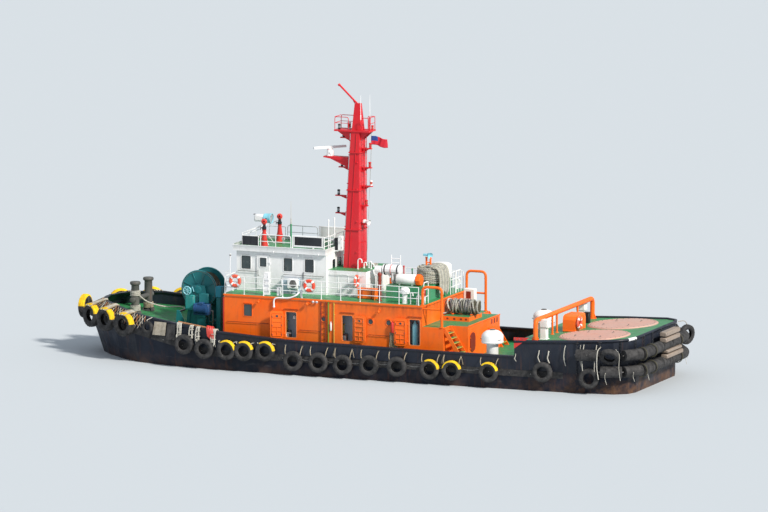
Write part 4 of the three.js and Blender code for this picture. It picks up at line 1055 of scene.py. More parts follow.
def bridgeTrim(s):
    kit = Kit()
    right, up = Vector((-s, 0, 0)), upBy(1)
    wall = bridgeWall["half"]
    y, face = s * wall, s * bridgeWall["door"]
    for x, z, wide, tall, radius in bridgeSide:
        window(kit, (x, y, z), right, up, wide, tall, radius)
        gutter(kit, (x, y, z + tall / 2 + 0.07), right, up, wide + 0.08, 0.03)
    # Handrail under the aft windows, doubler strips and the door's coaming
    for x0, x1, z in ((2.05, 4.45, 5.13), (6.05, 7.2, 5.2)):
        wallRail(kit, s, wall, x0, x1, z, 0.07, 3, 3)
    loop = roundedLoop((5.69, y, 5.19), right, up, 0.69, 1.86, 0.06)
    sweep(kit, loop, [(-0.02, -0.07), (0.0, -0.07), (0.0, 0.002), (-0.02, 0.002)], closed=True,
          flat=(0, s, 0), slot=1)
    sideBlock(kit, s, (6.045, 6.1), (wall, wall + 0.012), (4.33, 6.08), 0.003, 1)
    sideBlock(kit, s, (1.9, 5.2), (wall, wall + 0.01), (4.3, 4.34), 0.003)
    sideBlock(kit, s, (1.9, 7.3), (wall, wall + 0.012), (6.28, 6.34), 0.003)
    lathe(kit, [(0.05, 0), (0.05, -0.05), (0.035, -0.08), (0.035, -0.16), (0, -0.18)],
          (3.55, y + s * 0.1, 6.35), (0, 0, 1), 12)
    label = sideName(s)
    make(kit, "wheelhouse_windows_" + label, "hull", windowLooks)
    leaf = Kit()
    window(leaf, (5.68, face, 5.74), right, up, 0.41, 0.52, 0.06)
    hoop(leaf, (5.98, face, 5.1), (5.98, face, 5.28), (0, s * 0.054, 0), 0.02, 3, 0.011, 8, 3)
    lathe(leaf, [(0.035, 0), (0.035, 0.008), (0.02, 0.012), (0, 0.012)], (5.98, face, 5.0), (0, s, 0), 12, 3)
    for z0, z1 in ((4.4, 4.9), (4.98, 5.38)):
        loop = roundedLoop((5.66, face, (z0 + z1) / 2), right, up, 0.5, z1 - z0, 0.04)
        raisedFrame(leaf, loop, (0, s, 0), 0.012, 0.006, 0.008)
    make(leaf, "wheelhouse_door_trim_" + label, "wheelhouse_door_" + label, windowLooks)


def endWindows():
    kit = Kit()
    fore, aft, house = bridgeWall["fore"], bridgeWall["aft"], bridgeWall["houseFore"]
    for v in (-1.31, -0.44, 0.44, 1.31):
        window(kit, (fore, v, 5.675), (0, 1, 0), (0, 0, 1), 0.72, 0.75, 0.07)
        lathe(kit, [(0.02, 0), (0.02, 0.05), (0, 0.055)], (fore + 0.01, v, 6.1), (1, 0, 0), 8, 3)
        tube(kit, [(7.35, v, 6.1), (7.345, v + 0.14, 5.5)], 0.006, 6, slot=3)
    for v in (0.79, -0.07, -0.93):
        window(kit, (aft, v, 5.63), (0, -1, 0), (0, 0, 1), 0.42, 0.7, 0.06)
    for v in (-1.9, 0, 1.9):
        window(kit, (house, v, 3.24), (0, 1, 0), (0, 0, 1), 0.5, 0.67, 0.06, (4, 1, 2))
        gutter(kit, (house, v, 3.65), (0, 1, 0), (0, 0, 1), 0.6, 0.05, 4)
    hoop(kit, (fore, -1.7, 5.2), (fore, 1.7, 5.2), (0.07, 0, 0), 0.03, 3, 0.014, 8, 3)
    make(kit, "end_windows", "hull", [*windowLooks, "orange"])


looks["paleOrange"] = paintedMetal("rimPaint", (0.94, 0.30, 0.09), (0.90, 0.22, 0.05), wear=0.4, streaks=0.3)
looks["olive"] = paintedMetal("olivePaint", (0.10, 0.20, 0.03), (0.22, 0.30, 0.04), wear=0.3)
for s in (1, -1):
    houseTrim(s)
    bridgeTrim(s)
    for row, name in zip(houseSide["doors"], ("fore", "middle", "aft")):
        doorTrim(s, row, name)
endWindows()
print("windows, doors and rails dressed")

# Mast: lamps on its brackets, bands, ladder, cables, platform rail, whips, flag and halyard
mastForm = {"aft": 0.5, "foot": 5.5, "top": 13.14, "fore": (1.4, 1.0), "half": (0.575, 0.45)}
ladder = {"x": 0.33, "half": 0.19, "low": 5.75, "high": 13.0}
platform = {"fore": 1.96, "aft": -0.06, "half": 0.46, "rail": 0.72}


def mastSide(z):
    share = (z - mastForm["foot"]) / (mastForm["top"] - mastForm["foot"])
    lerp = [a + (b - a) * share for a, b in (mastForm["fore"], mastForm["half"])]
    return lerp[0], lerp[1]


def lamp(kit, at, slots, size=1.0):
    r = 0.075 * size
    at, up = Vector(at), upBy(1)
    lathe(kit, [(r * 0.8, 0), (r * 0.8, 0.05 * size), (r, 0.06 * size), (r, 0.075 * size)], at, up, 14,
          slots[0])
    lens = [(r * 0.86, 0.075 * size)]
    for k in range(5):
        z = 0.08 + 0.026 * k
        lens += [(r * 0.9, z * size), (r * 0.8, (z + 0.013) * size)]
    lathe(kit, lens, at, up, 14, slots[1])
    lathe(kit, [(r, 0), (r * 1.05, 0.012 * size), (r * 0.9, 0.05 * size), (r * 0.3, 0.065 * size),
                (0, 0.066 * size)], at + up * (0.2 * size), up, 14, slots[2])


# Each lamp's x, height and kind; a kind's foot, lens and cap slots
lampKinds = ((1, 3, 1), (0, 4, 0), (2, 4, 2))
mastLamps = [(1.62, 12.73, 0), (1.72, 11.08, 0), (1.92, 9.48, 0), (1.94, 8.5, 0), (0.02, 12.18, 1),
             (0.05, 11.11, 1), (-0.02, 10.08, 2), (0.26, 8.98, 1)]
bands = [11.95, 9.85, 7.65]


def mastTrim():
    kit = Kit()
    for x, z, kind in mastLamps:
        lamp(kit, (x, 0, z), lampKinds[kind], 1.15)
    # Welded bands round the trunk
    for z in bands:
        fore, half = mastSide(z)
        loop = [(mastForm["aft"] - 0.01, -half - 0.01, z), (fore + 0.01, -half - 0.01, z),
                (fore + 0.01, half + 0.01, z), (mastForm["aft"] - 0.01, half + 0.01, z)]
        sweep(kit, loop, [(-0.012, -0.03), (0.05, -0.03), (0.05, 0.03), (-0.012, 0.03)], closed=True,
              flat=(0, 0, 1))
    # Ladder up the after face: stringers, rungs and brackets
    x, side = ladder["x"], ladder["half"]
    for s in (1, -1):
        tube(kit, [(x, s * side, ladder["low"]), (x, s * side, ladder["high"])], 0.02, 8)
        for k in range(8):
            z = 5.9 + k
            tube(kit, [(x, s * side, z), (0.51, s * side, z)], 0.014, 6)
    for k in range(24):
        z = 5.9 + 0.3 * k
        tube(kit, [(x, -side, z), (x, side, z)], 0.011, 6)
    # Cable run on the forward edge, with its clips, and a white conduit
    for dy, r, slot in ((0.16, 0.045, 1), (0.24, 0.03, 1), (0.08, 0.028, 2)):
        line = []
        for k in range(24):
            z = 5.6 + 7.4 * k / 23
            fore, half = mastSide(z)
            line.append((fore + 0.05, half - dy + 0.008 * math.sin(k * 1.7), z))
        tube(kit, line, r, 8, slot=slot)
    for k in range(9):
        z = 6.2 + 0.8 * k
        fore, half = mastSide(z)
        block(kit, (fore - 0.005, half - 0.3, z - 0.02), (fore + 0.1, half - 0.04, z + 0.02), 0.005)
    # Long narrow pipe on the port face
    line = [(mastSide(z)[0] - 0.33 - 0.03 * (z - 5.5) / 7.6, mastSide(z)[1] + 0.02, z)
            for z in (5.55, 8, 10.5, 13.0)]
    tube(kit, line, 0.022, 8)
    for z in (6.4, 8.1, 9.9, 11.4):
        x = mastForm["aft"] + 0.12
        half = mastSide(z)[1]
        lathe(kit, [(0.05, 0), (0.05, 0.03), (0.035, 0.05), (0, 0.055)], (x, half, z), (0, 1, 0), 10)
    # Platform rails: two hoops forward and one aft
    top = mastForm["top"] + 0.04
    fore, aft, side, tall = (platform[key] for key in ("fore", "aft", "half", "rail"))
    for s in (1, -1):
        hoop(kit, (1.15, s * side, top), (fore, s * side, top), (0, 0, tall), 0.12, 4, 0.02, 8)
        tube(kit, [(1.15, s * side, top + 0.38), (fore, s * side, top + 0.38)], 0.015, 8)
        hoop(kit, (0.35, s * side, top), (aft, s * side, top), (0, 0, tall), 0.1, 4, 0.02, 8)
    for z in (0.38, tall):
        for x in (fore, aft):
            tube(kit, [(x, -side, top + z), (x, side, top + z)], 0.018, 8)
    lamp(kit, (1.8, 0.2, top), lampKinds[0], 1.1)
    lamp(kit, (1.35, -0.15, top), lampKinds[2], 1.5)
    lamp(kit, (-0.02, -0.2, top), lampKinds[1])
    # Whip aerials: one on the head, one on a post at the platform's after end
    lathe(kit, [(0.03, 0), (0.03, 0.25), (0.014, 0.3), (0.008, 1.35), (0, 1.36)], (0.53, 0.18, 13.75),
          (0, 0, 1), 8, 2)
    tube(kit, [(0.6, 0.16, 13.8), (0.52, 0.18, 13.8)], 0.015, 6)
    lathe(kit, [(0.045, 0), (0.045, 0.72), (0.03, 0.76)], (0.02, 0.08, top), (0, 0, 1), 10)
    lathe(kit, [(0.022, 0.76), (0.016, 0.9), (0.007, 1.98), (0, 1.99)], (0.02, 0.08, top), (0, 0, 1), 8, 2)
    # Spar: eye plate at its tip and a stay to the head
    lathe(kit, [(0.075, 0), (0.075, 0.09), (0, 0.1)], (1.86, 0, 15.6), (1.15, 0, 1.08), 10)
    tube(kit, [(0.78, 0, 14.35), (1.05, 0, 14.8)], 0.022, 6)
    # Gussets under the radar shelf and under the platform
    for s in (1, -1):
        slab(kit, [(1.0, s * 0.2, 11.35), (2.5, s * 0.2, 11.58), (1.04, s * 0.2, 10.95)], (0, s * 0.012, 0))
        slab(kit, [(0.5, s * 0.3, 13.1), (-0.05, s * 0.3, 13.1), (0.5, s * 0.3, 12.6)], (0, s * 0.012, 0))
        slab(kit, [(1.0, s * 0.3, 13.1), (1.9, s * 0.3, 13.1), (1.02, s * 0.3, 12.55)], (0, s * 0.012, 0))
    for x, z, kind in mastLamps:
        fore = mastSide(z)[0]
        near = fore if kind == 0 else mastForm["aft"]
        slab(kit, [(near, 0.02, z - 0.03), (x, 0.02, z - 0.03), (near, 0.02, z - 0.3)], (0, -0.012, 0))
    # White floodlight that shines aft, on its bracket
    tube(kit, bent([(0.5, 0.2, 7.93), (0.15, 0.2, 7.93), (0.15, 0.2, 8.06)], 0.04), 0.02, 8)
    lathe(kit, [(0.04, 0), (0.08, 0.08), (0.15, 0.26), (0.165, 0.3), (0.15, 0.29), (0.06, 0.1), (0, 0.09)],
          (0.28, 0.2, 8.13), (-1, 0.15, -0.25), 18, 2)
    block(kit, (0.22, 0.1, 8.02), (0.36, 0.3, 8.2), 0.02, 2)
    make(kit, "mast_fittings", "hull", ["mast", "black", "white", "lens", "redLens"])


def radarTrim():
    kit = Kit()
    turn = Matrix.Translation((2.45, 0, 12.03)) @ Matrix.Rotation(math.radians(50), 4, "Z")
    section = [(-0.075, -0.055), (0.075, -0.055), (0.09, -0.03), (0.09, 0.02), (0.055, 0.07),
               (-0.055, 0.07), (-0.075, 0.04)]
    path = [turn @ Vector((x, 0, 0.085)) for x in (-1.0, -0.985, -0.5, 0, 0.5, 0.985, 1.0)]
    sweep(kit, path, section, flat=(0, 0, 1), scale=[0.9, 1, 1, 1, 1, 1, 0.9])
    lathe(kit, [(0.13, -0.045), (0.135, -0.02), (0.1, 0.015), (0.075, 0.035)], turn.translation, (0, 0, 1),
          20)
    for s in (1, -1):
        tube(kit, [turn @ Vector((s * 0.3, -0.02, 0.02)), turn @ Vector((s * 0.08, 0, 0.0))], 0.015, 6)
    make(kit, "radar_aerial", "radar_scanner", ["white"], ["radar_scanner"])
    base = Kit()
    upright(base, [(0.2, 11.635), (0.215, 11.66), (0.2, 11.7), (0.175, 11.74), (0.17, 11.94),
                   (0.155, 11.975)], 2.45, 0, 20)
    block(base, (2.24, -0.1, 11.66), (2.36, 0.1, 11.92), 0.015)
    for k in range(4):
        block(base, (2.27, 0.165, 11.7 + 0.05 * k), (2.6, 0.185, 11.72 + 0.05 * k), 0.004)
    make(base, "radar_motor", "hull", ["white"])


# Flag, drawn out by the breeze from its halyard; a plain red field with a blue corner
flagAt = {"hoist": (-0.03, 0, 12.87), "wide": 0.95, "tall": 0.5}


def flag():
    kit = Kit()
    cols, rows = 26, 12
    hoist = Vector(flagAt["hoist"])
    fly = Vector((-0.98, -0.16, -0.12)).normalized()
    corners, faces, marks = [], [], []
    for j in range(rows + 1):
        for i in range(cols + 1):
            t, r = i / cols, j / rows
            wave = 0.055 * math.sin(t * 9.5 + r * 1.6) * (0.25 + t) + 0.02 * math.sin(t * 21 + r * 3)
            p = hoist + fly * (t * flagAt["wide"] * 0.965) + Vector((0, 1, 0)) * wave
            p.z += -r * flagAt["tall"] * 0.99 + 0.035 * math.sin(t * 6.2) - 0.05 * t * t
            corners.append(p)
            marks.append(1.0 if t <= 0.42 and r <= 0.5 else 0.0)
    for j in range(rows):
        for i in range(cols):
            a = j * (cols + 1) + i
            faces.append((a, a + 1, a + cols + 2, a + cols + 1))
    kit.add(corners, faces, 0, marks)
    piece = make(kit, "flag", "hull", ["flag"], sharp=180)
    thick = piece.modifiers.new("thickness", "SOLIDIFY")
    thick.thickness = 0.002
    thick.offset = 0
    return piece


# Halyard: from the lamp bracket through the flag's hoist to a cleat at the mast's foot
def halyard():
    kit = Kit()
    top, low = Vector((-0.03, 0, 13.02)), Vector((0.18, 0.15, 5.62))
    tube(kit, [top, Vector((-0.03, 0, 12.9)), Vector((-0.03, 0, 12.36)),
               *sagging((-0.03, 0, 12.36), low, 0.06, 12)[1:]], 0.006, 6)
    tube(kit, [top, Vector((-0.06, 0.03, 12.2)),
               *sagging((-0.06, 0.03, 12.2), low + Vector((0.03, 0, 0)), 0.05, 12)[1:]], 0.006, 6)
    lathe(kit, [(0.03, -0.015), (0.03, 0.015)], (-0.03, 0, 13.04), (0, 1, 0), 12, 1)
    lathe(kit, [(0.012, 0), (0.012, 0.08)], (-0.03, 0, 13.03), (0, 0, 1), 8, 1)
    tube(kit, [(0.1, 0.15, 5.66), (0.26, 0.15, 5.66)], 0.014, 8, slot=1)
    lathe(kit, [(0.02, 0), (0.014, 0.16)], (0.18, 0.15, 5.5), (0, 0, 1), 8, 1)
    for z in (12.86, 12.4):
        lathe(kit, [(0.014, -0.02), (0.014, 0.02)], (-0.03, 0, z), (0, 0, 1), 8, 1)
    make(kit, "flag_halyard", "hull", ["hawser", "steel"])


def flagLook():
    look = startLook("flagCloth")
    mark = addNode(look, "ShaderNodeAttribute", attribute_name="mark").outputs["Fac"]
    red = mixed(look, noise(look, 3.0, 4, 0.6), (0.62, 0.012, 0.03), (0.50, 0.02, 0.04))
    blue = mixed(look, noise(look, 3.0, 4, 0.6), (0.010, 0.03, 0.20), (0.02, 0.06, 0.26))
    colour = mixed(look, spread(look, mark, 0.45, 0.55), red, blue)
    weave = addNode(look, "ShaderNodeTexWave",
                    {"Vector": stretched(look, (60, 60, 60)), "Scale": 3.0}).outputs["Fac"]
    return finishLook(look, colour, 0.8, [(noise(look, 4.0, 3, 0.5), 0.006), (weave, 0.0006)])


def lensLook(name, tint, dark):
    look = startLook(name)
    colour = mixed(look, noise(look, 6.0, 4, 0.6), tint, dark)
    return finishLook(look, colour, 0.12, [(noise(look, 8.0, 2, 0.5), 0.001)])


looks["flag"] = flagLook()
looks["lens"] = lensLook("lampLens", (0.42, 0.48, 0.5), (0.2, 0.24, 0.26))
looks["redLens"] = lensLook("redLampLens", (0.6, 0.1, 0.06), (0.4, 0.05, 0.03))
looks["deepTeal"] = paintedMetal("deepTealPaint", (0.01, 0.21, 0.32), (0.03, 0.28, 0.38), wear=0.4)
looks["paleBlue"] = paintedMetal("paleBluePaint", (0.18, 0.58, 0.74), (0.34, 0.68, 0.78), wear=0.3)
mastTrim()
radarTrim()
flagPiece = flag()
halyard()


# Searchlight: rounded housing, finned drum with its glass, yoke, grab loop and stays
lightAt = {"x": 6.45, "z": 7.93}


def searchlight():
    kit = Kit()
    x, z = lightAt["x"], lightAt["z"]
    block(kit, (6.4, -0.2, 7.74), (6.97, 0.2, 8.12), 0.05)
    block(kit, (6.4, -0.215, 7.82), (6.9, -0.195, 8.05), 0.008)
    block(kit, (6.4, 0.195, 7.82), (6.9, 0.215, 8.05), 0.008)
    tube(kit, bent([(6.9, 0.1, 8.08), (7.03, 0.1, 8.12), (7.03, -0.1, 8.12), (6.9, -0.1, 8.08)], 0.03),
         0.014, 6, slot=2)
    drum = [(0.12, 6.42), (0.22, 6.42), (0.26, 6.38), (0.26, 6.34), (0.245, 6.33), (0.26, 6.32),
            (0.26, 6.27), (0.245, 6.26), (0.262, 6.25), (0.27, 6.08), (0.285, 6.05), (0.285, 5.96),
            (0.262, 5.96), (0.256, 6.0)]
    lathe(kit, [(r, v - x) for r, v in drum], (x, 0, z), (1, 0, 0), 36, 1)
    lathe(kit, [(0.256, 5.995 - x), (0.15, 5.985 - x), (0, 5.98 - x)], (x, 0, z), (1, 0, 0), 36, 3)
    for s in (1, -1):
        tube(kit, bent([(6.2, s * 0.26, z), (6.2, s * 0.26, 7.7), (6.42, s * 0.06, 7.66)], 0.06), 0.02, 8)
        lathe(kit, [(0.04, 0), (0.04, 0.03), (0, 0.035)], (6.2, s * 0.25, z), (0, s, 0), 12, 2)
    upright(kit, [(0.09, 7.57), (0.09, 7.62), (0.065, 7.66), (0.065, 7.76)], x, 0, 16)
    make(kit, "searchlight_body", "searchlight", ["white", "paleBlue", "black", "lens"], ["searchlight"])
    post = Kit()
    for dx, dy in ((0.45, 0.4), (0.45, -0.4), (-0.45, 0.4), (-0.45, -0.4)):
        tube(post, [(x + dx, dy, 6.5), (x, 0, 7.3)], 0.018, 8)
        lathe(post, [(0.05, 0), (0.05, 0.012), (0, 0.013)], (x + dx, dy, 6.5), (0, 0, 1), 10)
    tube(post, [(x - 0.05, 0.09, 6.5), (x - 0.05, 0.09, 7.5)], 0.014, 6, slot=1)
    make(post, "searchlight_stays", "hull", ["white", "black"])


# Fire monitors: flanged cone, dark swivel with its handwheel, round head and a tapering barrel
monitorShape = {"x": 5.95, "y": 1.1, "head": 7.9, "bearing": 112, "rise": 9}


def monitor(s):
    m = monitorShape
    label = sideName(s)
    x, y = m["x"], s * m["y"]
    turn, lift = math.radians(m["bearing"]), math.radians(m["rise"])
    ahead = Vector((math.cos(turn) * math.cos(lift), math.sin(turn) * math.cos(lift), math.sin(lift)))
    across = Vector((math.sin(turn), -math.cos(turn), 0))
    head = Vector((x, y, m["head"]))
    kit = Kit()
    upright(kit, [(0.16, 6.905), (0.16, 6.93), (0.148, 6.94), (0.1, 7.36), (0.1, 7.4), (0.125, 7.41),
                  (0.125, 7.44), (0.08, 7.45)], x, y, 24)
    for at in ringOf((x, y, 0), (1, 0, 0), (0, 1, 0), 0.14, 8):
        lathe(kit, [(0.012, 6.93), (0.012, 6.95), (0, 6.952)], at, (0, 0, 1), 6, 2)
    upright(kit, [(0.085, 7.44), (0.12, 7.47), (0.12, 7.6), (0.085, 7.63), (0.082, 7.8)], x, y, 20, 1)
    lathe(kit, [(0.07, -0.1), (0.07, 0.1), (0.03, 0.12), (0.03, 0.2)], (x, y, 7.54), across, 14, 1)
    wheel = Vector((x, y, 7.54)) + across * 0.2
    lathe(kit, [(0.1, -0.012), (0.115, 0), (0.1, 0.012), (0.09, 0)], wheel, across, 24, 1, closed=True)
    for k in range(3):
        out = ahead * math.cos(math.pi * k / 3) + upBy(math.sin(math.pi * k / 3))
        tube(kit, [wheel - out * 0.1, wheel + out * 0.1], 0.008, 6, slot=1)
    body = [(0.03, -0.16), (0.1, -0.155), (0.138, -0.12), (0.15, -0.06), (0.15, 0.06), (0.162, 0.07),
            (0.162, 0.11), (0.13, 0.13), (0.085, 0.17)]
    lathe(kit, body, head, ahead, 28)
    for bolt in ringOf(head + ahead * 0.108, across, ahead.cross(across), 0.14, 10):
        lathe(kit, [(0.012, 0), (0.012, 0.014), (0, 0.016)], bolt, ahead, 6, 2)
    barrel = [(0.085, 0.16), (0.076, 0.3), (0.064, 0.64), (0.08, 0.65), (0.08, 0.69), (0.06, 0.7),
              (0.058, 0.76), (0.07, 0.82), (0.05, 0.82), (0.03, 0.6)]
    lathe(kit, barrel, head, ahead, 22)
    lathe(kit, [(0.034, 0.66), (0, 0.661)], head, ahead, 16, 1)
    node = "monitor_" + label
    make(kit, "fire_" + node, node, ["red", "black", "steel"], [node])


searchlight()
for s in (1, -1):
    monitor(s)
monitorFeet = Kit()
for s in (1, -1):
    upright(monitorFeet, [(0.24, 6.502), (0.24, 6.53), (0.2, 6.54), (0.165, 6.88), (0.185, 6.885),
                          (0.185, 6.899), (0.1, 6.9)], monitorShape["x"], s * monitorShape["y"], 24)
make(monitorFeet, "monitor_feet", "hull", ["red"])
print("mast and bridge gear dressed")

# Stern fenders: two rows of rubber rollers on ropes and chains, and tyres at the quarters
# Rows are a height and which roller from each end is left out.
roller = {"reach": 0.5, "radius": 0.315, "rows": ((1.3, 0), (2.2, 1)), "from": -14.0, "step": 1.35}
quarterTyres = [(-14.73, 0.9, 0.38, 0.0), (-15.9, 2.15, 0.5, 0.84)]
# Ropes that hang at the quarters, lashed along the rollers: x, top, low end, radius, way out
quarterRopes = [(-13.35, 2.6, 1.5, 0.024, 0.1), (-14.2, 2.66, 1.5, 0.016, 0.05),
                (-15.3, 2.62, 0.92, 0.026, 0.72), (-15.75, 1.5, 0.66, 0.013, 0.7),
                (-16.1, 2.5, 0.88, 0.016, 0.7), (-16.62, 1.5, 0.8, 0.012, 0.66),
                (-16.95, 1.5, 0.72, 0.014, 0.6), (-11.85, 2.25, 1.62, 0.03, 0.06),
                (-12.4, 2.25, 1.6, 0.034, 0.06), (-10.5, 2.0, 1.6, 0.02, 0.08)]


def outwardOf(path):
    out = []
    for i in range(len(path)):
        a, b, c = path[max(i - 1, 0)], path[i], path[min(i + 1, len(path) - 1)]
        runs = [(q - p).normalized() for p, q in ((a, b), (b, c)) if (q - p).length > 1e-9]
        sides = [Vector((-r.y, r.x, 0)) for r in runs]
        total = sides[0] + sides[-1]
        out.append(total / (1 + sides[0].dot(sides[-1])))
    return out


def spacedOn(path, step):
    lengths = [0.0]
    for a, b in zip(path, path[1:]):
        lengths.append(lengths[-1] + (b - a).length)
    count = round(lengths[-1] / step)
    out, j = [], 0
    for i in range(count + 1):
        s = lengths[-1] * i / count
        while j < len(path) - 2 and lengths[j + 1] < s:
            j += 1
        out.append(path[j].lerp(path[j + 1], (s - lengths[j]) / (lengths[j + 1] - lengths[j])))
    return out


# Deck height on the raised stern
def sternZ(x):
    return 2.645 + (-10.4 - x) * 0.34 / 6.7


def rollerPath():
    half = [(x, y) for x, y in deckEdge if x < roller["from"] - 0.001]
    half.append((roller["from"], along(deckEdge, roller["from"])))
    loop = [Vector((x, -y, 0)) for x, y in half[::-1]] + [Vector((x, y, 0)) for x, y in half]
    outer = [p + o * roller["reach"] for p, o in zip(loop, outwardOf(loop))]
    return spacedOn(outer, roller["step"])


def sternFender():
    kit = Kit()
    posts = rollerPath()
    ways = outwardOf(posts)
    count = len(posts) - 1
    r = roller["radius"]
    for z, missing in roller["rows"]:
        for i in range(count):
            if min(i, count - 1 - i) == missing:
                continue
            a, b = posts[i] + upBy(z), posts[i + 1] + upBy(z)
            run = (b - a).normalized()
            length = (b - a).length
            e = 0.03 * length
            body = [(0.1, e + 0.05), (r * 0.72, e), (r * 0.93, e + 0.015), (r, e + 0.06)]
            for k in range(1, 8):
                v = e + 0.06 + (length - 2 * e - 0.12) * k / 8
                sag = 1 - 0.018 * math.sin(math.pi * k / 8) + 0.012 * math.sin(k * 2.3 + i)
                body.append((r * sag, v))
            body += [(r, length - e - 0.06), (r * 0.93, length - e - 0.015), (r * 0.72, length - e),
                     (0.1, length - e - 0.05)]
            lathe(kit, body, a, run, 28)
            # Chain through the middle, and its end shackles
            tube(kit, [a - run * 0.02, a + run * 0.12], 0.04, 8, slot=1)
            tube(kit, [b - run * 0.12, b + run * 0.02], 0.04, 8, slot=1)
            # Two wear bands
            for t in (0.3, 0.7):
                lathe(kit, [(r * 0.985, -0.035), (r * 1.015, -0.03), (r * 1.015, 0.03), (r * 0.985, 0.035)],
                      a + run * (length * t), run, 28)
    for i, (p, out) in enumerate(zip(posts, ways)):
        edge = p - out * roller["reach"]
        topZ = 2.72 + 0.25 * min(1, max(0, (-13.5 - p.x) / 3.4))
        low, high = (row[0] for row in roller["rows"])
        # Chain down behind the rollers, links as flat loops turned in turn
        links = 22
        for k in range(links):
            z = topZ - (topZ - 0.85) * (k + 0.5) / links
            at = edge + out * 0.1 + upBy(z)
            side = out if k % 2 else out.cross(upBy(1))
            loop = roundedLoop(at, side.normalized(), (0, 0, 1), 0.07, 0.125, 0.035, 3)
            tube(kit, loop, 0.011, 5, closed=True, slot=4)
        block(kit, edge + Vector((-0.1, -0.1, topZ - 0.02)), edge + Vector((0.1, 0.1, topZ + 0.03)), 0.015, 4)
        # Rope lashings that cross the joint of two rollers
        if i in (4, 7, 8):
            for dz in (low, high):
                loop = ringOf(p + upBy(dz), out, (0, 0, 1), 0.36, 20)
                rope(kit, loop + loop[:1], 0.03, 5 if i % 3 else 2)
    # Quarter tyres: one low, one where the upper row begins, and one upright at the starboard corner
    for s in (1, -1):
        for x, z, distance, tilt in quarterTyres:
            at, out = onSide(s, outside(x, distance, z))
            tyre(kit, at, out - upBy(tilt), **sideTyre)
        for dx in (-0.35, 0.35):
            top, _ = outside(-14.73 + dx, 0.03, 2.7)
            middle, _ = outside(-14.73 + dx, 0.52, 1.9)
            low, _ = outside(-14.73 + dx * 0.9, 0.46, 1.2)
            rope(kit, onSide(s, smooth([top, middle, low], 8)), 0.024, 3)
    tyre(kit, Vector((-17.2, -3.98, 2.2)), Vector((-0.86, 0.36, -0.1)), **sideTyre)
    rope(kit, smooth([(-16.85, -3.6, 2.95), (-17.1, -3.9, 2.95), (-17.27, -3.98, 2.7)], 6), 0.02, 2)
    for x, high, low, thick, away in quarterRopes:
        top, out = outside(x, 0.03, high)
        line = smooth([top, top + out * 0.03 - upBy(0.04), top + out * away + Vector((0.02, 0, -0.2)),
                       top + out * (away + 0.02) + Vector((0.05, 0, (low - high) * 0.6)),
                       top + out * away + Vector((-0.05, 0, low - high))], 6)
        for s in (1, -1):
            rope(kit, onSide(s, line), thick, 3)
    # Rounded rim of the raised deck, worn white at one corner, and timber pads over the rollers
    half = [Vector((x, y, sternZ(x) + 0.02)) for x, y in deckEdge if x < -10.6]
    rim = [Vector((-10.4, along(deckEdge, -10.4), sternZ(-10.4) + 0.02))] + half[::-1]
    tube(kit, rim + [flip(p) for p in rim[::-1]], 0.085, 12, slot=6)
    worn = [p for p in rim if p.x < -16.1]
    ends = worn[:max(2, len(worn) // 6)]
    tube(kit, ends, 0.089, 12, slot=7)
    for y0, y1, z0, z1 in ((-1.6, 0.6, 2.42, 2.68), (-1.6, 0.6, 2.74, 3.0), (-2.1, 0.4, 1.5, 1.74),
                           (-1.9, 0.3, 1.8, 1.98)):
        block(kit, (-17.72, y0, z0), (-17.3, y1, z1), 0.05, 8)
    make(kit, "stern_rollers", "hull", ["rubber", "steel", "rope", "whiteRope", "black", "darkRope",
                                        "bulwark", "white", "timber"], ["stern_fender"])


looks["whiteRope"] = ropeLook("whiteRope", (0.66, 0.64, 0.58), (0.42, 0.40, 0.34))
looks["darkRope"] = ropeLook("darkRope", (0.10, 0.095, 0.06), (0.05, 0.045, 0.03))
looks["orangeRope"] = ropeLook("orangeRope", (0.55, 0.24, 0.10), (0.32, 0.16, 0.09))
looks["timber"] = paintedMetal("agedTimber", (0.34, 0.27, 0.215), (0.22, 0.18, 0.15), wear=0.2, streaks=0.7)
sternFender()


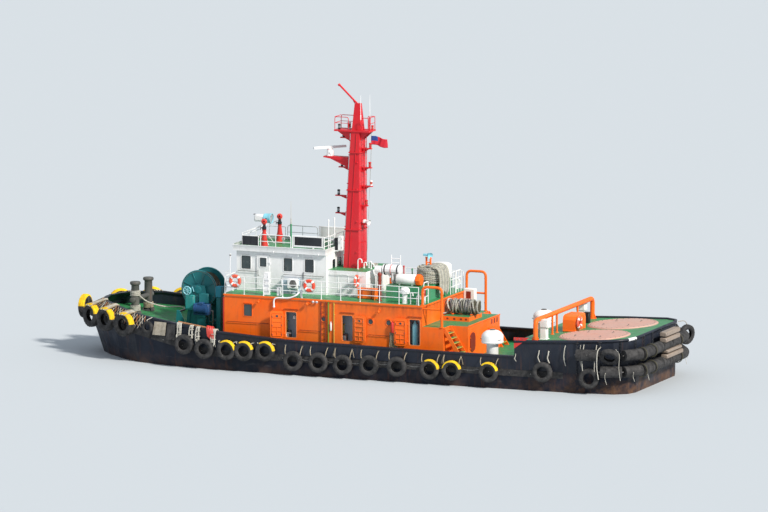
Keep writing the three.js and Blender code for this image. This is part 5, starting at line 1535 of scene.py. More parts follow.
# Lashings of the side tyres: lugs on the bulwark, and ropes down through each tyre
def lashings(s):
    kit = Kit()
    for n, (x, z) in enumerate(sideTyres[:-1]):
        at, out = outside(x, beltShape["deep"] + sideTyre["width"] / 2 - 0.02, z)
        for k in (-1, 1):
            top = bulwarkFace(x + k * 0.5, along(deckRise, x) + 0.56)
            loop = roundedLoop(top + out * 0.03, (1, 0, 0), (0, 0, 1), 0.09, 0.09, 0.045, 4)
            tube(kit, onSide(s, loop), 0.012, 6, closed=True, slot=1)
            tread = at + Vector((k * 0.40, 0, 0.34))
            bend = at + Vector((k * 0.45, 0, 0.45)) + out * 0.02
            line = smooth([top + out * 0.05, top.lerp(bend, 0.5) + out * (0.06 + 0.03 * dice.random()),
                           bend, tread, at + Vector((k * 0.24, 0, 0.2))], 6)
            kind = 2 if n < 5 else 0
            rope(kit, onSide(s, line), 0.024 if kind == 0 else 0.02, kind)
            if n < 2 or n in (7, 11):
                end = [top + out * 0.06, top + out * 0.1 + Vector((k * 0.08, 0, -0.2)),
                       top + out * 0.07 + Vector((k * 0.12, 0, -0.45))]
                rope(kit, onSide(s, smooth(end, 5)), 0.016, kind)
    # Wire that runs from tyre to tyre
    for (x0, z0), (x1, z1) in zip(sideTyres[5:-2], sideTyres[6:-1]):
        a, out = outside(x0 - 0.5, 0.16, z0 + 0.12)
        b, _ = outside(x1 + 0.5, 0.16, z1 + 0.12)
        tube(kit, onSide(s, sagging(a, b, 0.06, 8)), 0.012, 6, slot=1)
    # Bow tyres: thick white lashings from the cap down over each tyre, and a slack net behind them
    for x, z, _ in bowTyres:
        at, out = outside(x, 0.3, z)
        run = Vector((out.y, -out.x, 0))
        for k in range(4):
            reach = -0.3 + 0.2 * k
            low = at + run * reach + upBy(0.6 - 0.1 * reach * reach)
            top = bulwarkCap(min(17.0, x + run.x * reach * 0.8)) + upBy(0.03)
            line = smooth([top - out * 0.14, top + out * 0.05, top.lerp(low, 0.5) + out * 0.08,
                           low + out * 0.05, low + out * 0.22 - upBy(0.04)], 5)
            rope(kit, onSide(s, line), 0.034, 2 if k % 3 else 0)
    for n in range(26):
        x = 12.0 + 0.19 * n
        _, out = outside(min(x, 16.9), 0, 0)
        for lean in (-0.3, 0.3):
            top = bulwarkCap(min(17.05, x)) + out * 0.05
            foot = bulwarkFace(min(17.05, max(11.8, x + lean)), along(deckRise, x) + 0.08) + out * 0.1
            middle = top.lerp(foot, 0.5) + out * (0.1 + 0.03 * math.sin(n * 2.1)) - upBy(0.04)
            rope(kit, onSide(s, smooth([top, middle, foot], 4)), 0.016, (3, 2, 0)[(n + (lean > 0)) % 3])
    label = sideName(s)
    make(kit, "tyre_lashings_" + label, "hull", ["rope", "steel", "whiteRope", "orangeRope"])


for s in (1, -1):
    lashings(s)


# Winch: plated flanges with ribs and a rolled rim, the hawser wound on in layers, brake wheel and covers
winchAt = {"x": 10.1, "z": 3.8, "wheel": (10.57, 1.26, 3.78)}


def winch():
    x, z = winchAt["x"], winchAt["z"]
    kit = Kit()
    for s in (1, -1):
        disc = [(0.2, 0.58), (0.86, 0.6), (1.02, 0.6), (1.05, 0.585), (1.075, 0.6), (1.08, 0.645),
                (1.075, 0.69), (1.05, 0.7), (1.0, 0.68), (0.3, 0.68), (0.3, 0.72), (0.2, 0.76),
                (0.092, 0.76)]
        lathe(kit, [(r, s * v) for r, v in disc], (x, 0, z), (0, 1, 0), 48)
        lathe(kit, [(0.97, s * 0.675), (1.0, s * 0.69), (1.03, s * 0.675)], (x, 0, z), (0, 1, 0), 48, 2)
        for k in range(8):
            a = 2 * math.pi * (k + 0.5) / 8
            way = Vector((math.cos(a), 0, math.sin(a)))
            turn = Matrix.Translation((x, 0, z)) @ Matrix.Rotation(-a, 4, "Y")
            sideBlock(kit, s, (0.28, 0.99), (0.68, 0.72), (-0.02, 0.02), 0.008, 0, turn)
            lathe(kit, [(0.03, 0), (0.03, 0.02), (0, 0.022)], Vector((x, s * 0.68, z)) + way * 0.9,
                  (0, s, 0), 6, 2)
    lathe(kit, [(0.09, -0.92), (0.09, 0.92)], (x, 0, z), (0, 1, 0), 20, 2)
    lathe(kit, [(0.5, -0.6), (0.5, 0.6)], (x, 0, z), (0, 1, 0), 32)
    turns, steps = 13, 30
    ring = ringOf((x, -0.545, z), (1, 0, 0), (0, 0, 1), 0.79, steps)
    coil = [ring[i % steps] + Vector((0, 1.09 * i / (turns * steps), 0)) for i in range(turns * steps + 1)]
    rope(kit, coil, 0.044, 1, sides=5)
    lathe(kit, [(0.76, -0.58), (0.76, 0.58)], (x, 0, z), (0, 1, 0), 40, 1)
    make(kit, "winch_reel", "winch_drum", ["teal", "darkRope", "steel"], ["winch_drum"])

    kit = Kit()
    # Bearing housings, brake covers and the handwheel on the frame
    for s in (1, -1):
        lathe(kit, [(0.24, 0.862), (0.24, 0.9), (0.2, 0.93), (0.12, 0.935)], (x, 0, z), (0, s, 0), 24)
        for at in ringOf((x, 0, z), (1, 0, 0), (0, 0, 1), 0.2, 6):
            lathe(kit, [(0.022, 0.9), (0.022, 0.925), (0, 0.927)], at, (0, s, 0), 6, 3)
    block(kit, (10.24, 0.865, 2.66), (10.8, 1.06, 3.5), 0.03, 1)
    block(kit, (10.3, 1.055, 2.74), (10.74, 1.085, 3.4), 0.01, 1)
    block(kit, (9.4, 0.865, 3.08), (9.98, 1.0, 3.62), 0.03, 0)
    block(kit, (10.46, 0.865, 3.6), (10.68, 1.1, 3.88), 0.02, 1)
    tube(kit, [(10.57, 1.05, 3.78), (10.57, 1.28, 3.78)], 0.022, 10, slot=3)
    ring = [(0.2, -0.02), (0.225, -0.028), (0.25, 0), (0.225, 0.028), (0.2, 0.02)]
    lathe(kit, ring, winchAt["wheel"], (0, 1, 0), 32, 2, closed=True)
    spokes = ringOf(winchAt["wheel"], (1, 0, 0), (0, 0, 1), 0.21, 8)
    for a, b in zip(spokes[4:], spokes[:4]):
        tube(kit, [a, b], 0.014, 6, slot=2)
    tube(kit, bent([(10.35, 1.08, 3.9), (10.3, 1.16, 4.0), (10.2, 1.16, 3.72)], 0.05), 0.02, 8, slot=2)
    # Motor over the gearbox: its housing, finned shell and terminal box, on a dark foot
    block(kit, (9.285, 0.87, 2.435), (10.215, 1.275, 3.065), 0.028, 4)
    fins = [(0.1, 9.34), (0.25, 9.35)]
    for k in range(13):
        v = 9.4 + 0.055 * k
        fins += [(0.25, v), (0.28, v + 0.006), (0.28, v + 0.022), (0.25, v + 0.028)]
    fins += [(0.25, 10.14), (0.2, 10.19), (0.05, 10.2)]
    lathe(kit, [(r, v - 9.3) for r, v in fins], (9.3, 1.17, 2.75), (1, 0, 0), 32, 4)
    block(kit, (9.62, 1.0, 3.02), (9.9, 1.3, 3.15), 0.015, 4)
    block(kit, (9.48, 0.86, 2.3), (10.02, 1.22, 2.44), 0.02, 0)
    for dy in (0.0, 0.09):
        line = bent([(9.25, 1.0 + dy, 2.7), (9.1, 1.0 + dy, 2.7), (9.1, 1.0 + dy, 1.5),
                     (8.8 - dy, 0.9 + dy, 1.36), (7.6, 0.9 + dy, 1.22), (7.42, 0.9 + dy, 1.22)], 0.12)
        tube(kit, line, 0.022, 8, slot=3)
    # Cheek stiffeners and foot plates
    for s in (1, -1):
        for v in (-0.55, 0.0, 0.55):
            low = Vector((x + v, s * 0.862, 1.72))
            high = Vector((x + v * 0.55, s * 0.862, 3.4))
            edge = Vector((0.02, 0, 0))
            slab(kit, [low - edge, low + edge, high + edge, high - edge], (0, s * 0.06, 0), 0.004)
        deck = along(deckRise, x)
        sideBlock(kit, s, (x - 0.95, x + 0.95), (0.66, 1.0), (deck - 0.14, deck + 0.16))
    # Lever stand between the winch and the house
    block(kit, (8.66, 0.62, 1.25), (8.94, 0.96, 3.46), 0.03, 0)
    block(kit, (8.6, 0.56, 3.44), (8.98, 1.0, 4.06), 0.04, 6)
    for k in range(3):
        tube(kit, [(8.8 + 0.1 * k, 0.8, 4.1), (8.78 + 0.1 * k, 0.84, 4.34)], 0.011, 6, slot=3)
        lathe(kit, [(0.0, -0.03), (0.028, 0), (0.0, 0.03)], (8.78 + 0.1 * k, 0.84, 4.36), (0, 0, 1), 10, 5)
    # Spooling bar in front of the drum
    tube(kit, [(11.25, -0.95, 2.5), (11.25, 0.95, 2.5)], 0.06, 12, slot=3)
    for s in (1, -1):
        slab(kit, [(10.7, s * 0.95, 1.66), (11.4, s * 0.95, 1.72), (11.33, s * 0.95, 2.6),
                   (11.17, s * 0.95, 2.6)], (0, s * 0.05, 0), 0.01)
    make(kit, "winch_fittings", "hull", ["teal", "lightTeal", "paleBlue", "steel", "blue", "black",
                                         "deepTeal"])


winch()


# Bitt: two posts and their bar, wound mooring rope and its lead aft; coils are side, foot height and slot
bitt = {"x": 13.9, "half": 0.9, "bar": 3.05, "coils": ((1, 2.42, 0), (-1, 2.35, 1), (1, 3.26, 0))}


def bittRopes():
    kit = Kit()
    x, half = bitt["x"], bitt["half"]
    for s, base, slot in bitt["coils"]:
        line = []
        for i in range(5 * 18 + 1):
            a = 2 * math.pi * i / 18
            r = 0.262 + 0.012 * math.sin(i * 0.9)
            line.append((x + r * math.cos(a), s * half + r * math.sin(a), base + 0.062 * i / 18))
        rope(kit, line, 0.03, slot)
    lead = smooth([(13.66, 0.95, 3.3), (13.2, 0.7, 2.9), (12.4, 0.2, 2.62), (11.6, -0.1, 2.62),
                   (11.25, -0.15, 2.58), (10.85, -0.15, 3.1)], 8)
    rope(kit, lead, 0.04, 0)
    make(kit, "bitt_ropes", "hull", ["whiteRope", "rope"])
    posts = Kit()
    for s in (1, -1):
        upright(posts, [(0.34, 2.15), (0.34, 2.2), (0.245, 2.24)], x, s * half, 24)
        head = [(0.228, 2.2), (0.228, 3.3), (0.222, 3.84), (0.235, 3.86), (0.29, 3.9), (0.3, 3.94),
                (0.3, 4.0), (0.27, 4.05), (0, 4.07)]
        upright(posts, head, x, s * half, 32)
        for k in range(4):
            a = math.pi / 4 + math.pi / 2 * k
            turn = Matrix.Translation((x, s * half, 0)) @ Matrix.Rotation(a, 4, "Z")
            corners = ((0.2, 0, 2.2), (0.38, 0, 2.2), (0.38, 0, 2.26), (0.22, 0, 2.56))
            slab(posts, [turn @ Vector(p) for p in corners], turn.to_3x3() @ Vector((0, 0.025, 0)), 0.003)
    bar = [(0.1, -1.36), (0.155, -1.34), (0.155, -1.3), (0.14, -1.28), (0.14, 1.28), (0.155, 1.3),
           (0.155, 1.34), (0.1, 1.36)]
    lathe(posts, bar, (x, 0, bitt["bar"]), (0, 1, 0), 28)
    make(posts, "bitt_posts", "hull", ["bitt"], ["bow_bitt"])


bittRopes()


# Lifebuoy: a plump ring with four bands and a grab line; where each hangs and the way it faces
buoy = {"outer": 0.36, "thick": 0.0972, "band": math.radians(11)}
buoys = [(6.72, 3.42, 4.85, (0, 1, 0)), (2.27, 3.42, 4.83, (0, 1, 0)), (-0.02, 2.12, 5.03, (-1, 0, 0)),
         (-12.58, 0.46, 3.22, (-1, 0, 0)), (4.5, -3.42, 4.83, (0, -1, 0)), (0.5, -3.42, 4.83, (0, -1, 0))]


def lifebuoy(kit, at, axis):
    at, axis = Vector(at), Vector(axis)
    outer, r, flat = buoy["outer"], buoy["thick"], 0.72
    lathe(kit, circle(r, 14, r * flat, outer - r), at, axis, 40, 0, closed=True)
    first = upBy(1)
    second = axis.cross(first)
    slack = outer + 0.012

    def arc(middle, reach, steps, radius):
        out = []
        for i in range(steps + 1):
            a = middle + reach * (2 * i / steps - 1)
            out.append(at + (first * math.cos(a) + second * math.sin(a)) * radius(i / steps))
        return out

    for k in range(4):
        middle = math.pi / 4 + math.pi / 2 * k
        band = arc(middle, buoy["band"], 4, lambda t: outer - r)
        sweep(kit, band, circle(r + 0.006, 14, r * flat + 0.006), flat=axis, slot=1)
    for k in range(4):
        line = arc(math.pi / 2 * (k + 1), math.pi / 4, 8, lambda t: slack + 0.02 * math.sin(math.pi * t))
        tube(kit, line, 0.009, 6, slot=2)


def lifebuoys():
    kit = Kit()
    up = upBy(1)
    for x, y, z, axis in buoys:
        lifebuoy(kit, (x, y, z), axis)
        out = Vector(axis)
        for d in (-0.2, 0.2):
            foot = Vector((x, y, z - 0.34)) + out.cross(up) * d - out * 0.09
            hook = [foot - out * 0.03 + up * 0.15, foot - out * 0.03, foot + out * 0.16,
                    foot + out * 0.16 + up * 0.1]
            tube(kit, bent(hook, 0.03), 0.009, 6, slot=3)
    make(kit, "lifebuoys", "hull", ["buoyRed", "white", "rope", "steel"])


looks["buoyRed"] = paintedMetal("lifebuoyRed", (0.78, 0.06, 0.03), (0.74, 0.14, 0.08), wear=0.1,
                                streaks=0.1, gloss=0.5)
lifebuoys()
print("fenders, winch and ropes dressed")

looks["greyRope"] = ropeLook("greyRope", (0.22, 0.22, 0.23), (0.10, 0.10, 0.11))
looks["paleHawser"] = ropeLook("paleHawser", (0.62, 0.61, 0.53), (0.36, 0.35, 0.29))
looks["greyBlue"] = paintedMetal("lockerPaint", (0.36, 0.46, 0.56), (0.46, 0.54, 0.62), wear=0.3)
looks["vent"] = paintedMetal("ventPaint", (0.86, 0.87, 0.86), (0.76, 0.77, 0.75), wear=0.15, streaks=0.14)


# A box with a door in one face: its raised frame, hinges and grip
def cabinet(kit, low, high, slots, face=(0, 1, 0)):
    block(kit, low, high, 0.012, slots[0])
    low, high, face = Vector(low), Vector(high), Vector(face)
    middle = (low + high) / 2
    half = (high - low) / 2
    right = upBy(1).cross(face)
    wide = 2 * abs(right.dot(half))
    tall = 2 * half.z
    front = middle + face * abs(face.dot(half))
    loop = roundedLoop(front, right, (0, 0, 1), wide - 0.08, tall - 0.1, 0.03, 3)
    raisedFrame(kit, loop, face, 0.008, 0.005, 0.008, 0.004, slots[0])
    for z in (-0.3, 0.3):
        hinge = front + right * (wide / 2 - 0.04) + upBy(z * tall)
        lathe(kit, [(0.012, -0.04), (0.012, 0.04)], hinge + face * 0.01, (0, 0, 1), 8, slots[1])
    grip = front - right * (wide / 2 - 0.09)
    foot = grip + face * 0.001
    hoop(kit, foot, foot + upBy(0.12), face * 0.034, 0.015, 3, 0.008, 6, slots[1])


# A pipe that rises from a deck and turns over, with a foot flange and a screen at its mouth
def gooseneck(kit, foot, tall, reach, radius, slot=0):
    x, y, z = foot
    dx, dy = reach
    turn = math.hypot(dx, dy) / 2
    path = [Vector((x, y, z)), Vector((x, y, z + tall - turn))]
    for k in range(1, 9):
        a = math.pi * k / 8
        path.append(Vector((x + dx * (1 - math.cos(a)) / 2, y + dy * (1 - math.cos(a)) / 2,
                            z + tall - turn + turn * math.sin(a))))
    path.append(path[-1] - upBy(0.05))
    tube(kit, path, radius, 12, slot=slot)
    lathe(kit, [(radius * 1.9, 0), (radius * 1.9, 0.012), (radius, 0.02)], (x, y, z), (0, 0, 1), 14, slot)
    lathe(kit, [(radius * 1.2, -0.04), (radius * 1.25, 0.0), (radius * 1.1, 0.02)], path[-1], (0, 0, 1), 12,
          slot)


# Wheelhouse roof: the fascia round its edge, drains, pipes, a whip on its post and the cabinet by the mast
def wheelhouseTop():
    kit = Kit()
    edge = [(1.9, -2.0), (7.45, -2.0), (7.6, -1.55), (7.6, 1.55), (7.45, 2.0), (1.9, 2.0)]
    loop = [Vector((x, y, roofZ)) for x, y in edge]
    section = [(-0.002, -0.16), (0.022, -0.16), (0.022, 0.12), (0.03, 0.13), (0.03, 0.16), (-0.03, 0.16),
               (-0.03, 0.13), (-0.002, 0.12)]
    sweep(kit, loop, section, closed=True, flat=(0, 0, 1))
    for s in (1, -1):
        for x in (2.3, 5.0):
            tube(kit, bent([(x, s * 2.02, 6.4), (x, s * 2.06, 6.38), (x, s * 2.06, 6.3)], 0.02), 0.018, 8)
    # Whip aerial on a green post in the middle of the roof
    upright(kit, [(0.11, roofZ), (0.11, 6.53), (0.055, 6.56), (0.05, 7.62), (0.06, 7.63), (0.06, 7.68)],
            4.8, 0, 14, 1)
    upright(kit, [(0.032, 7.66), (0.028, 7.95), (0.016, 8.0), (0.008, 8.95), (0, 8.96)], 4.8, 0, 10, 2)
    # Box between the roof and the mast, on a bracket
    cabinet(kit, (1.42, 0.4, 6.46), (1.68, 0.72, 7.27), (0, 3))
    block(kit, (1.66, 0.42, 6.4), (1.94, 0.7, 6.46), 0.01, 0)
    block(kit, (1.74, 0.42, 6.46), (1.92, 0.68, 7.14), 0.02, 4)
    # Pipes at the after end of the roof
    for y in (1.17, 0.32):
        upright(kit, [(0.07, roofZ), (0.07, 6.52), (0.034, 6.53), (0.034, 8.1), (0.045, 8.11),
                      (0.045, 8.22), (0, 8.25)], 2.05, y, 14)
    # Two small round vents and a covered box on the roof
    for x, y, r in ((3.1, 0.9, 0.11), (2.6, -0.8, 0.14), (5.4, -0.3, 0.09)):
        upright(kit, [(r * 0.6, roofZ), (r * 0.6, 6.72), (r, 6.73), (r, 6.79), (r * 0.7, 6.86), (0, 6.88)],
                x, y, 18)
    block(kit, (3.5, -0.9, roofZ), (4.2, -0.3, 6.78), 0.03, 3)
    make(kit, "wheelhouse_top_fittings", "hull", ["white", "casing", "whiteRope", "steel", "black"])


# Gear along the port side of the upper deck, and the pipe that goes over its edge
def portGear():
    kit = Kit()
    block(kit, (3.45, 1.87, 4.13), (4.45, 2.2, 4.95), 0.015, 1)
    for x in (3.46, 3.95, 4.44):
        block(kit, (x - 0.02, 2.18, 4.11), (x + 0.02, 2.225, 4.97), 0.006, 0)
    for z in (4.12, 4.95):
        block(kit, (3.44, 2.18, z - 0.02), (4.46, 2.225, z + 0.02), 0.006, 0)
    # Outdoor unit of the cooling plant: fan grille, feet and pipes
    fan = Vector((3.62, 2.52, 4.73))
    block(kit, (3.38, 2.26, 4.46), (3.98, 2.52, 5.0), 0.03, 0)
    for r in (0.06, 0.11, 0.16, 0.21):
        lathe(kit, [(r - 0.006, 0), (r, 0.008), (r + 0.006, 0)], fan, (0, 1, 0), 24, 3, closed=True)
    lathe(kit, [(0.215, 0.0), (0.2, 0.003), (0, 0.004)], fan - Vector((0, 0.001, 0)), (0, 1, 0), 24, 3)
    wires = ringOf(fan + Vector((0, 0.007, 0)), (1, 0, 0), (0, 0, 1), 0.21, 12)
    for a, b in zip(wires[6:], wires[:6]):
        tube(kit, [a, b], 0.004, 5, slot=3)
    for x in (3.45, 3.9):
        block(kit, (x - 0.02, 2.22, upperDeckZ), (x + 0.02, 2.26, 4.48), 0.005, 0)
        block(kit, (x - 0.02, 2.24, 4.43), (x + 0.02, 2.5, 4.47), 0.005, 0)
    tube(kit, bent([(3.36, 2.4, 4.6), (3.28, 2.4, 4.6), (3.28, 1.95, 4.6), (3.28, 1.86, 5.3)], 0.05), 0.02,
         8, slot=2)
    cabinet(kit, (4.77, 3.0, 4.12), (5.08, 3.24, 5.4), (0, 3))
    cabinet(kit, (4.08, 3.04, 4.12), (4.3, 3.22, 4.6), (0, 3))
    # Staff with its bracket at the forward corner
    tube(kit, [(7.07, 3.31, 5.08), (7.07, 3.31, 5.6), (7.05, 3.31, 6.18)], 0.02, 8)
    tube(kit, bent([(7.07, 3.31, 5.46), (7.4, 3.31, 5.25), (6.75, 3.31, 5.2)], 0.04), 0.016, 8)
    lamp(kit, (7.05, 3.31, 6.16), (0, 3, 0), 0.7)
    # White pipe over the deck edge
    over = [(2.85, 3.2, 4.5), (2.95, 3.36, 4.36), (3.1, 3.44, 4.22), (3.5, 3.45, 4.08), (4.15, 3.45, 4.05),
            (4.36, 3.45, 3.92), (4.37, 3.45, 3.56)]
    tube(kit, smooth(over, 5), 0.045, 12, slot=0)
    lathe(kit, [(0.055, -0.03), (0.06, 0.0), (0.06, 0.05), (0.045, 0.06)], (4.37, 3.45, 3.54), (0, 0, 1),
          12, 0)
    tube(kit, [(2.85, 3.2, upperDeckZ), (2.85, 3.2, 4.52)], 0.05, 12)
    for x, z in ((3.6, 4.07), (4.37, 3.7)):
        block(kit, (x - 0.03, 3.35, z - 0.06), (x + 0.03, 3.46, z + 0.06), 0.006, 3)
    # Twin lamp on the wall below
    for x in (2.02, 1.8):
        lathe(kit, [(0.03, -0.06), (0.075, 0.0), (0.07, 0.03), (0, 0.035)], (x, 3.46, 3.95), (0, 0.7, -0.5),
              14, 0)
        tube(kit, [(x, 3.35, 3.98), (x, 3.44, 3.97)], 0.014, 6, slot=3)
    # Orange locker and the rusty pillar abaft the casing, with their straps
    block(kit, (-1.27, 1.95, 4.12), (-0.17, 2.35, 4.64), 0.02, 4)
    block(kit, (-1.3, 1.93, 4.6), (-0.14, 2.38, 4.68), 0.015, 4)
    for x in (-1.0, -0.45):
        block(kit, (x - 0.02, 2.34, 4.14), (x + 0.02, 2.365, 4.68), 0.005, 5)
    upright(kit, [(0.15, upperDeckZ), (0.15, 4.13), (0.095, 4.15), (0.09, 5.5), (0.12, 5.51), (0.12, 5.6),
                  (0.07, 5.68), (0, 5.69)], -1.6, 2.6, 16, 5)
    for z in (4.5, 4.9, 5.25):
        lathe(kit, [(0.1, -0.025), (0.112, -0.02), (0.112, 0.02), (0.1, 0.025)], (-1.6, 2.6, z), (0, 0, 1),
              16, 5)
    tube(kit, bent([(-1.5, 2.62, 4.72), (-1.38, 2.7, 4.72), (-1.34, 2.7, 4.12)], 0.05), 0.03, 8, slot=4)
    # White ventilator, small pipes and the arch near the after corner
    upright(kit, [(0.16, upperDeckZ), (0.14, 4.13), (0.14, 4.62), (0.27, 4.65), (0.28, 4.7), (0.28, 4.86),
                  (0.2, 4.96), (0, 4.99)], -3.22, 2.9, 24, 6)
    gooseneck(kit, (-3.62, 3.05, upperDeckZ), 0.62, (-0.14, 0), 0.03, 6)
    gooseneck(kit, (-4.02, 3.1, upperDeckZ), 0.5, (-0.2, 0), 0.04, 6)
    upright(kit, [(0.03, upperDeckZ), (0.03, 4.55), (0.05, 4.56), (0.05, 4.6), (0, 4.62)], -3.9, 2.6, 10, 6)
    # Extinguisher on its stand inside the portal
    upright(kit, [(0.07, 4.5), (0.095, 4.53), (0.095, 4.94), (0.06, 5.02), (0.025, 5.05), (0.025, 5.1),
                  (0, 5.11)], -4.28, 2.72, 16, 7)
    tube(kit, bent([(-4.28, 2.72, 5.08), (-4.36, 2.76, 5.06), (-4.38, 2.78, 4.6)], 0.04), 0.012, 6, slot=2)
    block(kit, (-4.36, 2.64, upperDeckZ), (-4.2, 2.8, 4.5), 0.02, 0)
    used = ["white", "greyBlue", "black", "steel", "orange", "darkRed", "vent", "red"]
    make(kit, "port_deck_gear", "hull", used)


# Same kinds of gear on the side that the view doesn't show
def starboardGear():
    kit = Kit()
    cabinet(kit, (2.6, -3.24, 4.12), (3.2, -2.95, 5.2), (0, 2), (0, -1, 0))
    cabinet(kit, (6.0, -3.24, 4.12), (6.4, -2.98, 4.9), (0, 2), (0, -1, 0))
    cabinet(kit, (-1.4, -2.4, 4.12), (-0.3, -2.0, 4.66), (1, 2), (0, -1, 0))
    upright(kit, [(0.16, upperDeckZ), (0.14, 4.13), (0.14, 4.62), (0.27, 4.65), (0.28, 4.7), (0.28, 4.86),
                  (0.2, 4.96), (0, 4.99)], 1.0, -2.6, 24, 3)
    for x in (4.2, -0.9, -3.9):
        gooseneck(kit, (x, -3.08, upperDeckZ), 0.55, (-0.18, 0), 0.04, 3)
    make(kit, "starboard_deck_gear", "hull", ["white", "orange", "steel", "vent"])


wheelhouseTop()
portGear()
starboardGear()
print("upper deck gear placed")


# On the casings: raft straps and rack, hose pipes, tank, valve, floodlight posts and rails
casingItems = {"raft": (0.95, 5.6), "tank": (-3.37, 1.5, 5.2), "wheel": (-2.12, 0.72, 5.22),
               "posts": (-3.38, -3.62)}


def casingGear():
    kit = Kit()
    # Raft: seam, straps and end plates, with the rack behind it
    g = casingItems
    y, z = g["raft"]
    for v, wide, slot in ((-1.66, 0.014, 2), (-1.3, 0.03, 3), (-2.05, 0.03, 3)):
        band = [(0.288, -wide), (0.302, -wide), (0.302, wide), (0.288, wide)]
        lathe(kit, band, (v, y, z), (1, 0, 0), 28, slot)
    for v, way in ((-2.15, -1), (-1.18, 1)):
        lathe(kit, [(0.285, 0.0), (0.27, 0.03), (0.12, 0.05), (0, 0.052)], (v, y, z), (way, 0, 0), 28)
    for x in (-1.48, -2.02):
        tube(kit, [(x, 0.6, casingZ), (x, 0.6, 6.38)], 0.028, 8)
        tube(kit, [(x, 0.6, 5.3), (x, 1.22, 5.3), (x, 1.22, 4.9)], 0.02, 8)
    for z in (5.95, 6.18):
        tube(kit, [(-1.48, 0.6, z), (-2.02, 0.6, z)], 0.026, 8)
    # White drum and its stand forward of the raft
    lathe(kit, [(0.2, -0.02), (0.24, 0), (0.24, 0.36), (0.2, 0.38), (0, 0.385)], (-1.08, 1.0, 5.56),
          (1, 0, 0), 24)
    for x in (-1.0, -0.78):
        for y in (0.85, 1.18):
            tube(kit, [(x, y, upperDeckZ), (x, y, 5.36)], 0.022, 8)
    tube(kit, [(-1.24, 1.25, upperDeckZ), (-1.24, 1.25, 5.42)], 0.03, 8)
    block(kit, (-1.1, 0.8, 5.3), (-0.7, 1.24, 5.35), 0.01)
    # Loops of white hose and swan-necked pipes on the mast casing
    for x, y, tall in ((0.28, 0.3, 0.32), (0.05, 0.15, 0.36), (-0.2, 0.42, 0.28)):
        gooseneck(kit, (x, y, mastCasingZ), tall, (-0.16, 0), 0.035)
    gooseneck(kit, (0.45, 0.78, mastCasingZ), 0.58, (-0.24, 0), 0.03)
    for k in range(4):
        lathe(kit, circle(0.022, 8, outer=0.16 + 0.012 * k), (-0.05, -0.4, 5.54 + 0.04 * k), (0, 0, 1), 24,
              5, closed=True)
    # Lying tank with its orange end, and the red valve
    lathe(kit, [(0.12, 0), (0.26, 0.03), (0.3, 0.09), (0.3, 1.1), (0.27, 1.16), (0.1, 1.19)], g["tank"],
          (1, 0, 0), 28, 4)
    lathe(kit, [(0.1, -0.3), (0.3, -0.28), (0.33, -0.22), (0.33, -0.02), (0.28, 0.0)], g["tank"], (1, 0, 0),
          8, 1)
    for x in (-3.15, -2.4):
        block(kit, (x - 0.03, 1.3, casingZ), (x + 0.03, 1.7, 4.98), 0.008, 0)
    for x, tall in ((-2.02, 5.74), (-2.52, 5.6)):
        upright(kit, [(0.06, casingZ), (0.06, 4.9), (0.034, 4.92), (0.034, tall - 0.1), (0.05, tall - 0.09),
                      (0.05, tall), (0, tall)], x, 0.1, 10, 2 if tall > 5.7 else 6)
    upright(kit, [(0.08, casingZ), (0.05, 4.92), (0.05, 5.2)], -2.12, 0.72, 12, 2)
    lathe(kit, circle(0.022, 8, outer=0.2), g["wheel"], (0, 0, 1), 24, 2, closed=True)
    spokes = ringOf(g["wheel"], (1, 0, 0), (0, 1, 0), 0.19, 6)
    for a, b in zip(spokes[3:], spokes[:3]):
        tube(kit, [a, b], 0.014, 6, slot=2)
    # Twin posts through the coiled hawser, with a floodlight across their heads
    for x in g["posts"]:
        tube(kit, [(x, 0.12, casingZ), (x, 0.12, 6.28)], 0.055, 12, slot=1)
        upright(kit, [(0.07, 6.24), (0.07, 6.3), (0, 6.31)], x, 0.12, 12, 1)
    tube(kit, [(x, 0.12, 6.0) for x in g["posts"]], 0.03, 8, slot=1)
    lathe(kit, [(0.05, -0.16), (0.09, -0.1), (0.16, 0.1), (0.165, 0.13), (0.15, 0.12), (0.08, 0.06),
                (0, 0.05)], (-3.55, 0.14, 6.42), (-0.8, 0.6, -0.2), 20, 7)
    block(kit, (-3.5, 0.04, 6.36), (-3.2, 0.2, 6.48), 0.02, 7)
    tube(kit, [(-3.5, 0.12, 6.28), (-3.5, 0.12, 6.4)], 0.02, 8, slot=7)
    # Rail panels on the after edge of the upper deck, and hoops beside them
    for y0, y1 in ((-1.0, -1.72), (-1.84, -2.56), (2.3, 2.95)):
        hoop(kit, (-4.36, y0, upperDeckZ), (-4.36, y1, upperDeckZ), (0, 0, 1.2), 0.14, 5, 0.028, 8)
        for z in (4.5, 4.9):
            tube(kit, [(-4.36, y0, z), (-4.36, y1, z)], 0.02, 8)
    for y in (-1.36, -2.2):
        tube(kit, [(-4.36, y, upperDeckZ), (-4.36, y, 5.3)], 0.02, 8)
    # Handrails round the casings, doors and ventilation grilles in their sides
    for s in (1, -1):
        y = s * 1.7
        hoop(kit, (-0.3, y, 5.3), (1.7, y, 5.3), (0, s * 0.06, 0), 0.03, 4, 0.014, 8)
        loop = roundedLoop((0.95, y, 4.72), (-s, 0, 0), (0, 0, 1), 0.6, 1.1, 0.08)
        raisedFrame(kit, loop, (0, s, 0), 0.02, 0.012, 0.014)
        louvre(kit, (-2.9, s * 1.9, 4.5), (-s, 0, 0), 0.9, 0.42, 6)
    make(kit, "casing_gear", "hull", ["white", "orange", "red", "black", "vent", "whiteRope", "casing",
                                      "paleBlue"])


